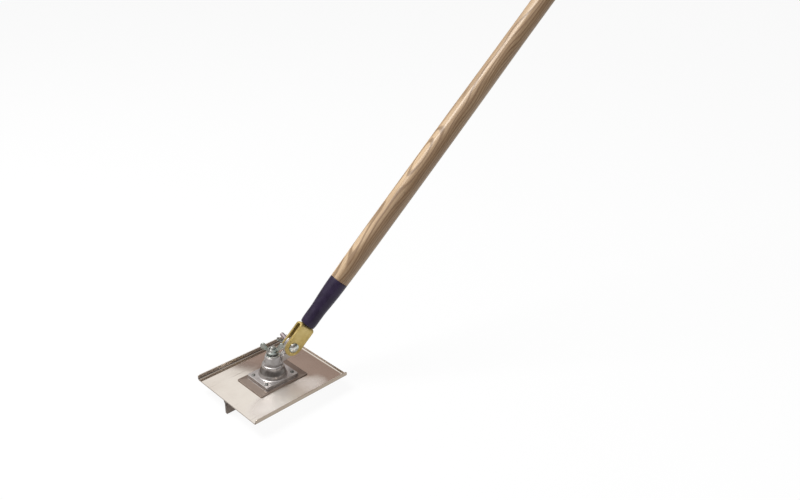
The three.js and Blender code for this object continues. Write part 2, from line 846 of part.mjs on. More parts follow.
// What tilts with the handle
const tilting = new THREE.Group();
tilting.position.set(pivotReach, 0, pivotHeight);
tilting.rotation.y = -THREE.MathUtils.degToRad(handleRise);
tilting.add(piece('clevis_strap', clevisStrap(), yellowZinc));
tilting.add(piece('pivot_bolt', pivotBolt(), zincPlate));
tilting.add(piece('web_rivet', webRivet(), zincPlate));
tilting.add(piece('handle_socket', handleSocket(), socketEnamel));
tilting.add(piece('handle_pin', handlePin(), zincPlate));
tilting.add(piece('wood_handle', woodHandle(), lacqueredAsh));

const boltHole = boltDiameter + 2 * runningGap;
const boltStack = new THREE.Group();
boltStack.rotation.x = -Math.PI / 2;
const boltFlat = washer(boltWasherDiameter, boltHole, boltWasherGauge);
const boltWasher = piece('pivot_washer', boltFlat, zincPlate);
boltWasher.position.z = boltWasherFoot;
boltStack.add(boltWasher);
const boltSplit = springWasher(boltSpringDiameter, boltHole, boltSpringGauge);
const boltSpring = piece('pivot_spring_washer', boltSplit, zincPlate);
boltSpring.position.z = boltSpringFoot;
boltStack.add(boltSpring);
const boltWingNut = piece('pivot_wing_nut', wingNut(boltNut), zincPlate);
boltWingNut.position.z = boltNutFoot;
boltWingNut.rotation.z = -THREE.MathUtils.degToRad(pivotNutTurn);
boltStack.add(boltWingNut);
tilting.add(boltStack);
swivel.add(tilting);

export default groover;
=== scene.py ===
# A walking concrete groover: the sole and its bit, the swivelling head with its wing nuts, and the long
# handle. Metres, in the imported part's own frame: +Z up the swivel stud, +X along the bit, the origin under
# the stud.
import json
import math

import bpy
import numpy as np
from mathutils import Matrix, Vector
from mathutils.geometry import tessellate_polygon

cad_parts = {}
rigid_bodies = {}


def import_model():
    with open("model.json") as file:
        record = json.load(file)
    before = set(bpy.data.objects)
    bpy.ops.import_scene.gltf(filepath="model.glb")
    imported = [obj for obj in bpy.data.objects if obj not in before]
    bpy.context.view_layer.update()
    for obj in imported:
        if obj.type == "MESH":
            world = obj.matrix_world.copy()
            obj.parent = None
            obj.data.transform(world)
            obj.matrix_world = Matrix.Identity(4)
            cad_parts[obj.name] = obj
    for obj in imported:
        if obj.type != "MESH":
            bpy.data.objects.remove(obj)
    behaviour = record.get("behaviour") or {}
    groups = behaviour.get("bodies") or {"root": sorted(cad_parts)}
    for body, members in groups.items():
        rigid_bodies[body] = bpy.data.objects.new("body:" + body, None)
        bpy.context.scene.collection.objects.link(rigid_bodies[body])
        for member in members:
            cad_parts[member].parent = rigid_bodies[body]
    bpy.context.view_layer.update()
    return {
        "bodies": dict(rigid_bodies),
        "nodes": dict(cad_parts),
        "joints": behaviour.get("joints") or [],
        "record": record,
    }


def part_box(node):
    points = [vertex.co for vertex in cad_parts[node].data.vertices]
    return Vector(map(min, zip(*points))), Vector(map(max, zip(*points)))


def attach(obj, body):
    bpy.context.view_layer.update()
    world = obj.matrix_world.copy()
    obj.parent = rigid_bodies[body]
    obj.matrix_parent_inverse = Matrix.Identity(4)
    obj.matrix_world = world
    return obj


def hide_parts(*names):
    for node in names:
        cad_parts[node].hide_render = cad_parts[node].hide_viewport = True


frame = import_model()
mm = 0.001
tau = 2 * math.pi
joints = {joint["name"]: joint for joint in frame["joints"]}

# the pivot and the head's turn are read back from the frame's own joints; the handle's rise is given
tiltJoint = joints["handle_tilt"]
pivotPoint = Vector(tiltJoint["pos_m"])
swivelTurn = math.atan2(tiltJoint["axis"][0], -tiltJoint["axis"][1])
handleRise = math.radians(49.5)
headFrame = Matrix.Rotation(swivelTurn, 4, "Z")
tiltFrame = Matrix.Translation(pivotPoint) @ headFrame @ Matrix.Rotation(-handleRise, 4, "Y")
boltFrame = tiltFrame @ Matrix.Rotation(-math.pi / 2, 4, "X")
alongFrame = tiltFrame @ Matrix.Rotation(math.pi / 2, 4, "Y")

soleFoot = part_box("sole_plate")[0].z
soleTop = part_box("doubler_plate")[0].z
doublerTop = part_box("base_casting")[0].z
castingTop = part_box("base_casting")[1].z
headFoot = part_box("swivel_head")[0].z
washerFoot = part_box("stud_washer")[0].z
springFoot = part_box("stud_spring_washer")[0].z
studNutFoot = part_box("stud_wing_nut")[0].z
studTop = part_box("swivel_stud")[1].z
print("frame loaded, parts:", len(frame["nodes"]))


# A shape is a grid of points (rows, columns, 3), rows joined to rows and, if closed, the last column to the
# first. Ends may be capped with a fan about their mean point; the faces are turned outwards by the sign of
# the volume.
def gridShape(points, around=True, lowCap=True, highCap=True, ring=False):
    rows, columns = points.shape[:2]
    index = np.arange(rows * columns).reshape(rows, columns)
    low, high = (index, np.roll(index, -1, 0)) if ring else (index[:-1], index[1:])
    if around:
        lowNext, highNext = np.roll(low, -1, 1), np.roll(high, -1, 1)
    else:
        lowNext, highNext = low[:, 1:], high[:, 1:]
        low, high = low[:, :-1], high[:, :-1]
    quads = np.stack([low, lowNext, highNext, high], -1).reshape(-1, 4)
    vertices = points.reshape(-1, 3)
    triangles = np.zeros((0, 3), int)
    for wanted, row, turn in ((lowCap, index[0], 1), (highCap, index[-1], -1)):
        if wanted:
            middle = len(vertices)
            vertices = np.vstack([vertices, vertices[row].mean(0)])
            fan = np.stack([np.roll(row, -1), row, np.full_like(row, middle)][::turn], -1)
            triangles = np.vstack([triangles, fan])
    return vertices, quads, triangles


# Triangles that fill a flat outline, which may bend inwards. They turn the way its points do.
def filled(outline):
    triangles = np.array(tessellate_polygon([[Vector((*point, 0)) for point in outline]]))
    a, b, c = (outline[triangles[:, n]] for n in range(3))
    after = np.roll(outline, -1, 0)
    area = (outline[:, 0] * after[:, 1] - outline[:, 1] * after[:, 0]).sum()
    turn = (b - a)[:, 0] * (c - a)[:, 1] - (b - a)[:, 1] * (c - a)[:, 0]
    return np.where((turn * area < 0)[:, None], triangles[:, ::-1], triangles)


# Turns a shape's faces outwards where its signed volume comes out negative.
def outward(vertices, quads, triangles):
    if signedVolume(vertices, quads, triangles) < 0:
        return vertices, quads[:, ::-1], triangles[:, ::-1]
    return vertices, quads, triangles


# Joins several shapes, each turned outwards, into one list of vertices and faces.
def together(*shapes):
    offset, vertices, quads, triangles = 0, [], [], []
    for points, fours, threes in (outward(*shape) for shape in shapes):
        vertices.append(points)
        quads.append(fours + offset)
        triangles.append(threes + offset)
        offset += len(points)
    return np.vstack(vertices), np.vstack(quads), np.vstack(triangles)


# Signed volume of a closed shape: a sixth of the sum of the corner determinants of its triangles.
def signedVolume(vertices, quads, triangles):
    fans = np.vstack([quads[:, [0, 1, 2]], quads[:, [0, 2, 3]], triangles])
    a, b, c = (vertices[fans[:, n]] for n in range(3))
    return float(np.einsum("ij,ij->i", a, np.cross(b, c)).sum() / 6)


# Makes a shape an object. The matrix goes into the mesh, so that the object itself stays unmoved at the
# origin.
def makePiece(name, shape, matrix, finish, smoothAngle=40):
    vertices, quads, triangles = shape
    placed = vertices @ np.array(matrix.to_3x3()).T + np.array(matrix.translation)
    placed, quads, triangles = outward(placed, quads, triangles)
    mesh = bpy.data.meshes.new(name)
    mesh.from_pydata(placed.tolist(), [], quads.tolist() + triangles.tolist())
    mesh.update()
    piece = bpy.data.objects.new(name, mesh)
    bpy.context.scene.collection.objects.link(piece)
    mesh.materials.append(finish)
    mesh.shade_smooth()
    mesh.set_sharp_from_angle(angle=math.radians(smoothAngle))
    return piece


# Rounds the corners of a polyline: each inner corner becomes an arc tangent to both of its sides.
def softened(corners, radius, steps=6, closed=False):
    corners = [np.array(corner, float) for corner in corners]
    radii = radius if hasattr(radius, "__len__") else [radius] * len(corners)
    points = []
    for n, corner in enumerate(corners):
        if not closed and n in (0, len(corners) - 1):
            points.append(corner[None])
            continue
        back = corners[n - 1] - corner
        ahead = corners[(n + 1) % len(corners)] - corner
        backLength, aheadLength = np.linalg.norm(back), np.linalg.norm(ahead)
        back, ahead = back / backLength, ahead / aheadLength
        half = math.acos(float(np.clip(back @ ahead, -1, 1))) / 2
        reach = min(radii[n] / max(math.tan(half), 1e-6), 0.49 * backLength, 0.49 * aheadLength)
        if reach < 1e-7 or half > math.pi / 2 - 1e-3:
            points.append(corner[None])
            continue
        arcRadius = reach * math.tan(half)
        bisector = (back + ahead) / np.linalg.norm(back + ahead)
        centre = corner + bisector * arcRadius / math.sin(half)
        start, end = corner + back * reach - centre, corner + ahead * reach - centre
        share = np.linspace(0, 1, steps + 1)[:, None]
        sweep = math.acos(float(np.clip(start @ end / arcRadius**2, -1, 1)))
        arc = (np.sin((1 - share) * sweep) * start + np.sin(share * sweep) * end) / max(math.sin(sweep), 1e-9)
        points.append(centre + arc)
    return np.vstack(points)


# Adds points to a polyline so that no stretch is longer than a given step.
def finer(points, step, closed=False):
    ends = np.vstack([points[1:], points[:1]]) if closed else points[1:]
    starts = points if closed else points[:-1]
    parts = []
    for start, end in zip(starts, ends):
        count = max(1, int(math.ceil(np.linalg.norm(end - start) / step)))
        parts.append(start + (end - start) * (np.arange(count) / count)[:, None])
    if not closed:
        parts.append(points[-1:])
    return np.vstack(parts)


# A turned shape: each profile point (radius, height) becomes a circle about Z; ends on the axis close to a
# pole.
def turned(profile, segments=96):
    profile = np.asarray(profile, float)
    lowPole, highPole = profile[0, 0] < 1e-6, profile[-1, 0] < 1e-6
    rings = profile[(1 if lowPole else 0) : (len(profile) - 1 if highPole else len(profile))]
    angle = np.arange(segments) * tau / segments
    x = rings[:, :1] * np.cos(angle)
    y = rings[:, :1] * np.sin(angle)
    z = np.broadcast_to(rings[:, 1:], x.shape)
    vertices, quads, triangles = gridShape(np.stack([x, y, z], -1), lowCap=lowPole, highCap=highPole)
    poles = [profile[0, 1]] * lowPole + [profile[-1, 1]] * highPole
    if poles:
        vertices[-len(poles) :, 2] = poles
    return vertices, quads, triangles


# A turned shape whose profile closes on itself, such as a washer or a cup.
def turnedRing(profile, segments=96):
    profile = np.asarray(profile, float)
    angle = np.arange(segments) * tau / segments
    x = profile[:, :1] * np.cos(angle)
    y = profile[:, :1] * np.sin(angle)
    z = np.broadcast_to(profile[:, 1:], x.shape)
    return gridShape(np.stack([x, y, z], -1), lowCap=False, highCap=False, ring=True)


# A block: a closed outline (columns) carried through levels (rows) of [height, inset], inset along its own
# normals.
def loftedBlock(outline, levels):
    ahead, behind = np.roll(outline, -1, 0), np.roll(outline, 1, 0)
    tangent = ahead - behind
    tangent /= np.linalg.norm(tangent, axis=1)[:, None]
    normal = np.stack([tangent[:, 1], -tangent[:, 0]], -1)
    count = len(outline)
    rows = [np.column_stack([outline - normal * inset, np.full(count, height)]) for height, inset in levels]
    return gridShape(np.stack(rows))


# An edge's rounding as [height, inset] levels, from a block's foot to its top.
def roundedLevels(low, high, radius, steps=4):
    turn = np.linspace(0, math.pi / 2, steps + 1)
    foot = np.column_stack([low + radius * (1 - np.sin(turn)), radius * (1 - np.cos(turn))])[::-1]
    top = np.column_stack([high - radius * (1 - np.sin(turn)), radius * (1 - np.cos(turn))])
    return np.vstack([foot, top])


# A rectangle's outline about the origin: its four corners rounded, its sides cut into short stretches.
def roundedRectangle(length, width, radius, steps=8, step=2 * mm):
    x, y = length / 2, width / 2
    corners = [(x, y), (-x, y), (-x, -y), (x, -y)]
    return finer(softened(corners, radius, steps, closed=True), step, closed=True)


# A section (y, z) carried along X: grids with a row for every place along and a column for every section
# point.
def carried(section, along):
    x = np.repeat(along[:, None], len(section), 1)
    y = np.repeat(section[None, :, 0], len(along), 0)
    z = np.repeat(section[None, :, 1], len(along), 0)
    return x, y, z


# A shallow dome's profile from its rim to its crown: over a short straight rim, the height falls with the
# square of the radius.
def domeProfile(radius, rim, height, seat, count):
    share = np.linspace(1, 0, count)
    return np.column_stack([radius * share, seat + rim + (height - rim) * (1 - share**2)])


# shader maths: a socket with Python's operators, and one method that makes any other node
class Line:
    def __init__(self, finish, socket):
        self.finish, self.socket = finish, socket

    def maths(self, operation, *values):
        return self.finish.node("ShaderNodeMath", {"operation": operation}, dict(enumerate(values)))

    def __add__(self, other):
        return self.maths("ADD", self, other)

    def __sub__(self, other):
        return self.maths("SUBTRACT", self, other)

    def __rsub__(self, other):
        return self.maths("SUBTRACT", other, self)

    def __mul__(self, other):
        return self.maths("MULTIPLY", self, other)

    def __truediv__(self, other):
        return self.maths("DIVIDE", self, other)

    def __pow__(self, other):
        return self.maths("POWER", self, other)

    __radd__ = __add__
    __rmul__ = __mul__

    # nought below low, one above high, with a smooth rise between
    def step(self, low, high):
        settings = {"interpolation_type": "SMOOTHSTEP"}
        sockets = {"Value": self, "From Min": low, "From Max": high}
        return self.finish.node("ShaderNodeMapRange", settings, sockets)

    def wave(self):
        return self.maths("SINE", self)

    def limited(self):
        return self.maths("MINIMUM", self.maths("MAXIMUM", self, 0.0), 1.0)


class Finish:
    def __init__(self, name, **fixed):
        self.material = bpy.data.materials.new(name)
        self.material.use_nodes = True
        self.tree = self.material.node_tree
        self.shader = self.tree.nodes["Principled BSDF"]
        for socket, value in fixed.items():
            self.shader.inputs[socket.replace("_", " ")].default_value = value

    # makes a node of a type: its settings first, then the values or links of its sockets; gives its first
    # output
    def node(self, kind, settings=None, sockets=None, output=0):
        made = self.tree.nodes.new(kind)
        for name, value in (settings or {}).items():
            if name == "stops":
                self.rampStops(made.color_ramp, value)
            else:
                setattr(made, name, value)
        for name, value in (sockets or {}).items():
            self.feed(made.inputs[name], value)
        return Line(self, made.outputs[output])

    def rampStops(self, ramp, stops):
        while len(ramp.elements) < len(stops):
            ramp.elements.new(0.5)
        for element, (place, colour) in zip(ramp.elements, stops):
            element.position = place
            element.color = (*colour, 1)

    def feed(self, socket, value):
        if isinstance(value, Line):
            self.tree.links.new(value.socket, socket)
        elif hasattr(value, "__len__") and len(value) == 3 and socket.type == "RGBA":
            socket.default_value = (*value, 1)
        else:
            socket.default_value = value

    # the object's own coordinates, moved and turned into a piece's frame
    def place(self, matrix=None, scale=(1, 1, 1)):
        coordinates = self.node("ShaderNodeTexCoord", output="Object")
        if matrix is None and scale == (1, 1, 1):
            return coordinates
        matrix = matrix or Matrix.Identity(4)
        sockets = {"Vector": coordinates, "Location": matrix.translation, "Rotation": matrix.to_euler()}
        turnedBack = self.node("ShaderNodeMapping", {"vector_type": "TEXTURE"}, sockets)
        if scale == (1, 1, 1):
            return turnedBack
        return self.node("ShaderNodeMapping", {"vector_type": "POINT"}, {"Vector": turnedBack, "Scale": scale})

    def noise(self, vector, scale, detail=3.0, roughness=0.5):
        sockets = {"Vector": vector, "Scale": scale, "Detail": detail, "Roughness": roughness}
        return self.node("ShaderNodeTexNoise", {}, sockets)

    def parts(self, vector):
        split = self.tree.nodes.new("ShaderNodeSeparateXYZ")
        self.feed(split.inputs[0], vector)
        return [Line(self, output) for output in split.outputs]

    # a mix of two colours, by the Mix node's colour sockets: 6 and 7 are its inputs, 2 its output
    def colours(self, factor, low, high):
        return self.node("ShaderNodeMix", {"data_type": "RGBA"}, {0: factor, 6: low, 7: high}, output=2)

    def paint(self, colour=None, roughness=None, height=None, strength=0.2, distance=0.0004, **others):
        if colour is not None:
            self.feed(self.shader.inputs["Base Color"], colour)
        if roughness is not None:
            self.feed(self.shader.inputs["Roughness"], roughness)
        if height is not None:
            sockets = {"Height": height, "Strength": strength, "Distance": distance}
            self.feed(self.shader.inputs["Normal"], self.node("ShaderNodeBump", {}, sockets))
        for name, value in others.items():
            self.feed(self.shader.inputs[name.replace("_", " ")], value)
        return self.material


# sRGB numbers, as read off a colour chart, to the linear ones that a shader takes
def shade(red, green, blue):
    return tuple(((c / 255 + 0.055) / 1.055) ** 2.4 if c > 10 else c / 255 / 12.92 for c in (red, green, blue))


polish = {
    "sole": (shade(232, 224, 214), shade(214, 203, 192)),
    "doubler": (shade(150, 136, 126), shade(128, 114, 105), 0.2),
    "brushScales": (2.5, 900.0, 200), "cloudScale": 16.0, "fineScale": 70.0, "scratchScales": (9, 420, 60),
    "roughness": 0.05, "roughnessSpread": 0.02, "scratchShade": shade(120, 110, 104),
    "bend": (0.15 * mm, 1 * mm), "bendRoughness": 0.2, "lip": (2.4 * mm, 3.4 * mm), "lipRoughness": 0.24,
    "paintedShadeBand": (0.02 * mm, 0.12 * mm, 1.5 * mm, 2.6 * mm), "paintedShadeSides": (74 * mm, 76 * mm),
    "paintedShadeShare": 0.72, "paintedShadeTone": shade(84, 76, 70),
    "edgeFace": (-101.55 * mm, -101.2 * mm), "edgePaintedShadeShare": 0.6, "edgePaintedShade": shade(128, 116, 106),
    "edgeRoughness": 0.45,
    "outerFace": (81.9 * mm, 82.4 * mm), "outerPaintedReflectionShare": 0.8, "outerPaintedReflection": shade(150, 135, 118),
    "hazeMiddle": (-14 * mm, -60 * mm), "hazeReach": (84 * mm, 34 * mm), "hazeFade": (0.25, 1.3),
    "hazeClouds": 0.8, "hazeTop": (0.3 * mm, 0.9 * mm), "hazeAndReflectionShare": 0.6,
    "hazeAndReflectionTone": shade(255, 250, 246), "hazeRoughness": 0.34,
}


# Polished sheet: very fine lines along the travel, faint clouds of handling, and a few long scratches. The
# polish is dull on the cut front edge and on the lips, and dull in the bends. Painted shade darkens the side
# bends and the cut front edge, and a painted reflection tans the lips' outer faces. A patch in front of the
# casting is hazy, dull and painted paler, partly a smudge film and partly a painted reflection: an ellipse
# whose squared distance (x / a)^2 + (y / b)^2 is broken up by clouds. Heights are above the sheet's top.
# Each sheet has a pale and a warm tone, and may be lifted in roughness.
def polishedSheet(name, pale, warm, lift=0.0):
    finish = Finish(name, Metallic=1.0, IOR=2.2)
    place = finish.place()
    lines = finish.noise(finish.place(None, polish["brushScales"]), 1.0, 2.0)
    clouds = finish.noise(place, polish["cloudScale"], 4.0, 0.55)
    fine = finish.noise(place, polish["fineScale"], 3.0, 0.6)
    scratches = finish.noise(finish.place(None, polish["scratchScales"]), 1.0, 1.0).step(0.72, 0.78)
    tone = (clouds.step(0.35, 0.7) * 0.55 + lines * 0.3).limited()
    colour = finish.colours(tone, pale, warm)
    colour = finish.colours(scratches * 0.25, colour, polish["scratchShade"])
    spread = polish["roughnessSpread"]
    x, y, z = finish.parts(place)
    inBend = z.step(*(soleTop + height for height in polish["bend"]))
    onLip = z.step(*(soleTop + height for height in polish["lip"]))
    low, lowFull, highFull, high = (soleTop + height for height in polish["paintedShadeBand"])
    sideways = (y**2.0) ** 0.5
    # painted shade: the side bends are darkened between two heights above the sheet's top
    paintedShade = z.step(low, lowFull) * (1 - z.step(highFull, high)) * sideways.step(*polish["paintedShadeSides"])
    colour = finish.colours(paintedShade * polish["paintedShadeShare"], colour, polish["paintedShadeTone"])
    # painted shade: the cut front edge is darkened in colour as well as dulled
    cutEdge = 1 - x.step(*polish["edgeFace"])
    colour = finish.colours(cutEdge * polish["edgePaintedShadeShare"], colour, polish["edgePaintedShade"])
    # painted reflection: the lips' outer faces are painted a darker tan
    outer = sideways.step(*polish["outerFace"])
    colour = finish.colours(outer * polish["outerPaintedReflectionShare"], colour, polish["outerPaintedReflection"])
    (hazeX, hazeY), (reachX, reachY) = polish["hazeMiddle"], polish["hazeReach"]
    patch = ((x - hazeX) / reachX) ** 2.0 + ((y - hazeY) / reachY) ** 2.0
    patch = patch + (clouds - 0.5) * polish["hazeClouds"]
    above = z.step(*(soleTop + height for height in polish["hazeTop"]))
    haze = (1 - patch.step(*polish["hazeFade"])) * (1 - above)
    # the hazy patch is painted paler: partly a smudge film, partly a painted reflection
    colour = finish.colours(haze * polish["hazeAndReflectionShare"], colour, polish["hazeAndReflectionTone"])
    roughness = polish["roughness"] + lift + clouds * spread + fine.step(0.45, 0.75) * spread + scratches * 0.06
    dulled = inBend * polish["bendRoughness"] * (1 - onLip) + onLip * polish["lipRoughness"]
    dulled = dulled + haze * polish["hazeRoughness"] + cutEdge * polish["edgeRoughness"]
    roughness = roughness + dulled * (1 - lift)
    return finish.paint(colour, roughness, clouds, 0.02, 0.0002)


blade = {
    "grey": shade(92, 82, 76), "pale": shade(134, 122, 113), "lineScales": (8, 100, 700), "cloudScale": 45.0,
    "roughness": 0.36, "roughnessSpread": 0.2,
}


# The bit's dull steel: two greys mixed by broad clouds and by fine lines along the blade.
def bitSteel():
    finish = Finish("bitSteel", Metallic=0.9)
    lines = finish.noise(finish.place(None, blade["lineScales"]), 1.0, 2.0)
    clouds = finish.noise(finish.place(), blade["cloudScale"], 5.0, 0.6)
    tone = (clouds.step(0.3, 0.72) * 0.7 + lines * 0.3).limited()
    colour = finish.colours(tone, blade["grey"], blade["pale"])
    return finish.paint(colour, blade["roughness"] + clouds * blade["roughnessSpread"], lines, 0.15, 0.0003)


casting = {
    "pale": shade(192, 188, 186), "grey": shade(146, 140, 138), "grainShade": shade(112, 106, 104),
    "grain": 650.0, "ripple": 130.0, "stain": 55.0, "roughness": 0.27,
    "paintedShadeBand": (12.5 * mm, 15 * mm, 22.5 * mm, 25.5 * mm), "paintedShadeReach": (25.2 * mm, 26.4 * mm),
    "paintedShadeTone": shade(74, 67, 62), "collarShadeShare": 0.3,
    "collarShadeFoot": (60.4 * mm, 62.4 * mm), "collarShadeTop": (71.6 * mm, 72.6 * mm), "collarShadeReach": (17.6 * mm, 18.4 * mm),
}


# Satin aluminium casting: fine sand grain, slow ripples, and darker soft stains in the hollows of the
# noise. Painted shade darkens the boss between two heights above its foot and inside a distance from the
# stud, and a thinner painted shade lies on the collar above, between two heights of the part's own frame.
def castAluminium():
    finish = Finish("castAluminium", Metallic=0.92)
    place = finish.place()
    grain = finish.noise(place, casting["grain"], 2.0, 0.6)
    ripple = finish.noise(place, casting["ripple"], 3.0, 0.5)
    stain = finish.noise(place, casting["stain"], 5.0, 0.62).step(0.42, 0.72)
    colour = finish.colours(stain * 0.75, casting["pale"], casting["grey"])
    colour = finish.colours(grain.step(0.62, 0.75) * 0.2, colour, casting["grainShade"])
    x, y, z = finish.parts(place)
    fromStud = (x**2.0 + y**2.0) ** 0.5
    low, lowFull, highFull, high = (doublerTop + height for height in casting["paintedShadeBand"])
    # painted shade on the boss's drum, made a little uneven by the stains
    paintedShadeBand = z.step(low, lowFull) * (1 - z.step(highFull, high)) * (1 - fromStud.step(*casting["paintedShadeReach"]))
    # painted shade on the collar
    collarShade = z.step(*casting["collarShadeFoot"]) * (1 - z.step(*casting["collarShadeTop"]))
    collarShade = collarShade * (1 - fromStud.step(*casting["collarShadeReach"]))
    paintedShade = paintedShadeBand * (0.62 + stain * 0.2) + collarShade * casting["collarShadeShare"]
    colour = finish.colours(paintedShade, colour, casting["paintedShadeTone"])
    roughness = casting["roughness"] + stain * 0.08 + grain * 0.06
    return finish.paint(colour, roughness, ripple + grain * 0.1, 0.05, 0.0003)


zinc = {
    "tones": ((188, 200, 194), (222, 220, 214)), "bloom": 90.0, "speck": 480.0,
    "speckShade": shade(128, 130, 126), "threadFade": 2 * mm, "threadShade": shade(150, 140, 142), "threadRoughness": 0.25,
}


# Bright zinc: pale blue-white steel with a faint green and straw bloom, its tones scaled by a tint. The low
# tints of the split washers and the rivet heads are painted shade. On a bolt it is duller from a place along
# it.
def brightZinc(name="brightZinc", roughness=0.24, tint=0.55, along=None):
    finish = Finish(name, Metallic=1.0)
    place = finish.place()
    bloom = finish.noise(place, zinc["bloom"], 3.0, 0.55)
    speck = finish.noise(place, zinc["speck"], 2.0, 0.6)
    low, high = (tuple(c * tint for c in shade(*tone)) for tone in zinc["tones"])
    colour = finish.colours(bloom.step(0.35, 0.65), low, high)
    colour = finish.colours(speck.step(0.6, 0.75) * 0.2, colour, zinc["speckShade"])
    dullness = roughness + speck * 0.12
    if along is not None:
        frame, start = along
        thread = finish.parts(finish.place(frame))[2].step(start, start + zinc["threadFade"])
        colour = finish.colours(thread, colour, zinc["threadShade"])
        dullness = dullness + thread * zinc["threadRoughness"]
    return finish.paint(colour, dullness, speck, 0.04, 0.0002)


yellow = {
    "stops": [(0.3, shade(168, 148, 88)), (0.5, shade(196, 174, 112)), (0.68, shade(208, 188, 130))],
    "rubbedShade": shade(140, 120, 70), "rolledShade": shade(222, 208, 158),
    "drift": 60.0, "fine": 320.0, "rolledScales": (14, 90, 500), "roughness": 0.36,
}


# Yellow zinc: straw gold that drifts towards green and rose, duller where it has been rubbed.
def yellowZinc():
    finish = Finish("yellowZinc", Metallic=0.88)
    place = finish.place(tiltFrame)
    drift = finish.noise(finish.place(tiltFrame, (0.6, 1, 1)), yellow["drift"], 4.0, 0.55)
    fine = finish.noise(place, yellow["fine"], 3.0, 0.6)
    rolled = finish.noise(finish.place(tiltFrame, yellow["rolledScales"]), 1.0, 2.0)
    colour = finish.node("ShaderNodeValToRGB", {"stops": yellow["stops"]}, {"Fac": drift})
    colour = finish.colours(fine.step(0.55, 0.8) * 0.3, colour, yellow["rubbedShade"])
    colour = finish.colours(rolled.step(0.6, 0.8) * 0.16, colour, yellow["rolledShade"])
    roughness = yellow["roughness"] + drift * 0.16 + fine * 0.1
    return finish.paint(colour, roughness, fine * 0.6 + rolled, 0.06, 0.0003)


enamel = {
    "dark": shade(31, 22, 44), "pale": shade(43, 32, 58), "chipShade": shade(74, 68, 80),
    "peel": 260.0, "cloud": 40.0, "chips": 210.0, "roughness": 0.36, "coat": 0.08,
}


# Socket enamel: nearly black violet, glossy, with slight orange peel and a few small chips that dull its
# coat.
def socketEnamel():
    finish = Finish("socketEnamel", Metallic=0.0, Coat_Roughness=0.12, IOR=1.32)
    place = finish.place(alongFrame)
    peel = finish.noise(place, enamel["peel"], 2.0, 0.5)
    cloud = finish.noise(place, enamel["cloud"], 4.0, 0.6)
    chips = finish.noise(place, enamel["chips"], 4.0, 0.65).step(0.71, 0.75)
    colour = finish.colours(cloud.step(0.35, 0.7), enamel["dark"], enamel["pale"])
    colour = finish.colours(chips * 0.4, colour, enamel["chipShade"])
    roughness, coat = enamel["roughness"] + cloud * 0.12, enamel["coat"] - chips * 0.06
    return finish.paint(colour, roughness, peel, 0.08, 0.0004, Coat_Weight=coat)


ash = {
    "pith": (0.011, -0.034), "ringStep": 0.0034, "lean": 0.024, "warp": 0.0046, "warpScales": (5.5, 20, 20),
    "knots": (8, 28, 28), "pores": (26, 1500, 1500), "fibres": (9, 420, 420), "patches": (3.2, 34, 34),
    "light": shade(216, 189, 155), "mid": shade(176, 146, 111), "dark": shade(104, 76, 50),
    "shadedSide": (0 * mm, 11 * mm), "shadedSideTone": shade(100, 74, 49), "poreShade": shade(84, 60, 40),
    "roughness": 0.42, "coat": 0.3,
}


# Ash: rings about a pith that lies outside the handle and leans across it, so that they meet the surface in
# long pointed loops. A ring's place is its distance from the pith, warped slowly along the grain, over the
# ring step. One side of the handle is painted darker brown, a painted shade.
def lacqueredAsh():
    finish = Finish("lacqueredAsh", Metallic=0.0, Coat_Roughness=0.26, IOR=1.4)
    along, across, up = finish.parts(finish.place(tiltFrame))
    slow = finish.noise(finish.place(tiltFrame, ash["warpScales"]), 1.0, 2.0, 0.5)
    knots = finish.noise(finish.place(tiltFrame, ash["knots"]), 1.0, 1.0, 0.4)
    sideways = across - ash["pith"][0] + along * ash["lean"] + (slow - 0.5) * ash["warp"] * 2
    upwards = up - ash["pith"][1] + (knots - 0.5) * ash["warp"] * 4
    distance = (sideways**2.0 + upwards**2.0) ** 0.5
    ring = (distance * (tau / ash["ringStep"])).wave() * 0.5 + 0.5
    pores = finish.noise(finish.place(tiltFrame, ash["pores"]), 1.0, 2.0, 0.6)
    fibres = finish.noise(finish.place(tiltFrame, ash["fibres"]), 1.0, 3.0, 0.6)
    patches = finish.noise(finish.place(tiltFrame, ash["patches"]), 1.0, 3.0, 0.55)
    early = ring.step(0.5, 0.98)
    colour = finish.colours(fibres.step(0.3, 0.7), ash["light"], ash["mid"])
    colour = finish.colours(patches.step(0.38, 0.68) * 0.4, colour, ash["dark"])
    # painted shade: the handle is darker on one side, across its up and sideways directions
    litSide = (up * 0.78 + across * 0.62 + (patches - 0.5) * 0.01).step(*ash["shadedSide"])
    colour = finish.colours((1 - litSide) * 0.6, colour, ash["shadedSideTone"])
    colour = finish.colours(early * 0.66, colour, ash["dark"])
    colour = finish.colours(pores.step(0.58, 0.72) * (early * 0.4 + 0.14), colour, ash["poreShade"])
    height = pores * 0.5 + fibres * 0.3 - early * 0.4
    roughness = ash["roughness"] + fibres * 0.12
    return finish.paint(colour, roughness, height, 0.03, 0.0004, Coat_Weight=ash["coat"])


soleFinish = polishedSheet("polishedSheet", *polish["sole"])
doublerFinish = polishedSheet("doublerSheet", *polish["doubler"])
bitFinish = bitSteel()
castFinish = castAluminium()
zincFinish = brightZinc()
washerFinish = brightZinc("brightWasher", 0.3, 0.85)
# the split washers' zinc is painted very dark, a painted shade
springPaintedShadeFinish = brightZinc("springZincPaintedShade", 0.3, 0.16)
# the rivet heads' zinc is painted dark, a painted shade
rivetPaintedShadeFinish = brightZinc("rivetZincPaintedShade", 0.42, 0.2)
boltFinish = brightZinc("brightBolt", 0.24, 0.95, (boltFrame, -2 * mm))
yellowFinish = yellowZinc()
enamelFinish = socketEnamel()
ashFinish = lacqueredAsh()
print("finishes made")


# Says which body a piece moves with, and hides the CAD nodes that it replaces.
def settle(piece, body, nodes):
    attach(piece, body)
    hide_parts(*nodes)


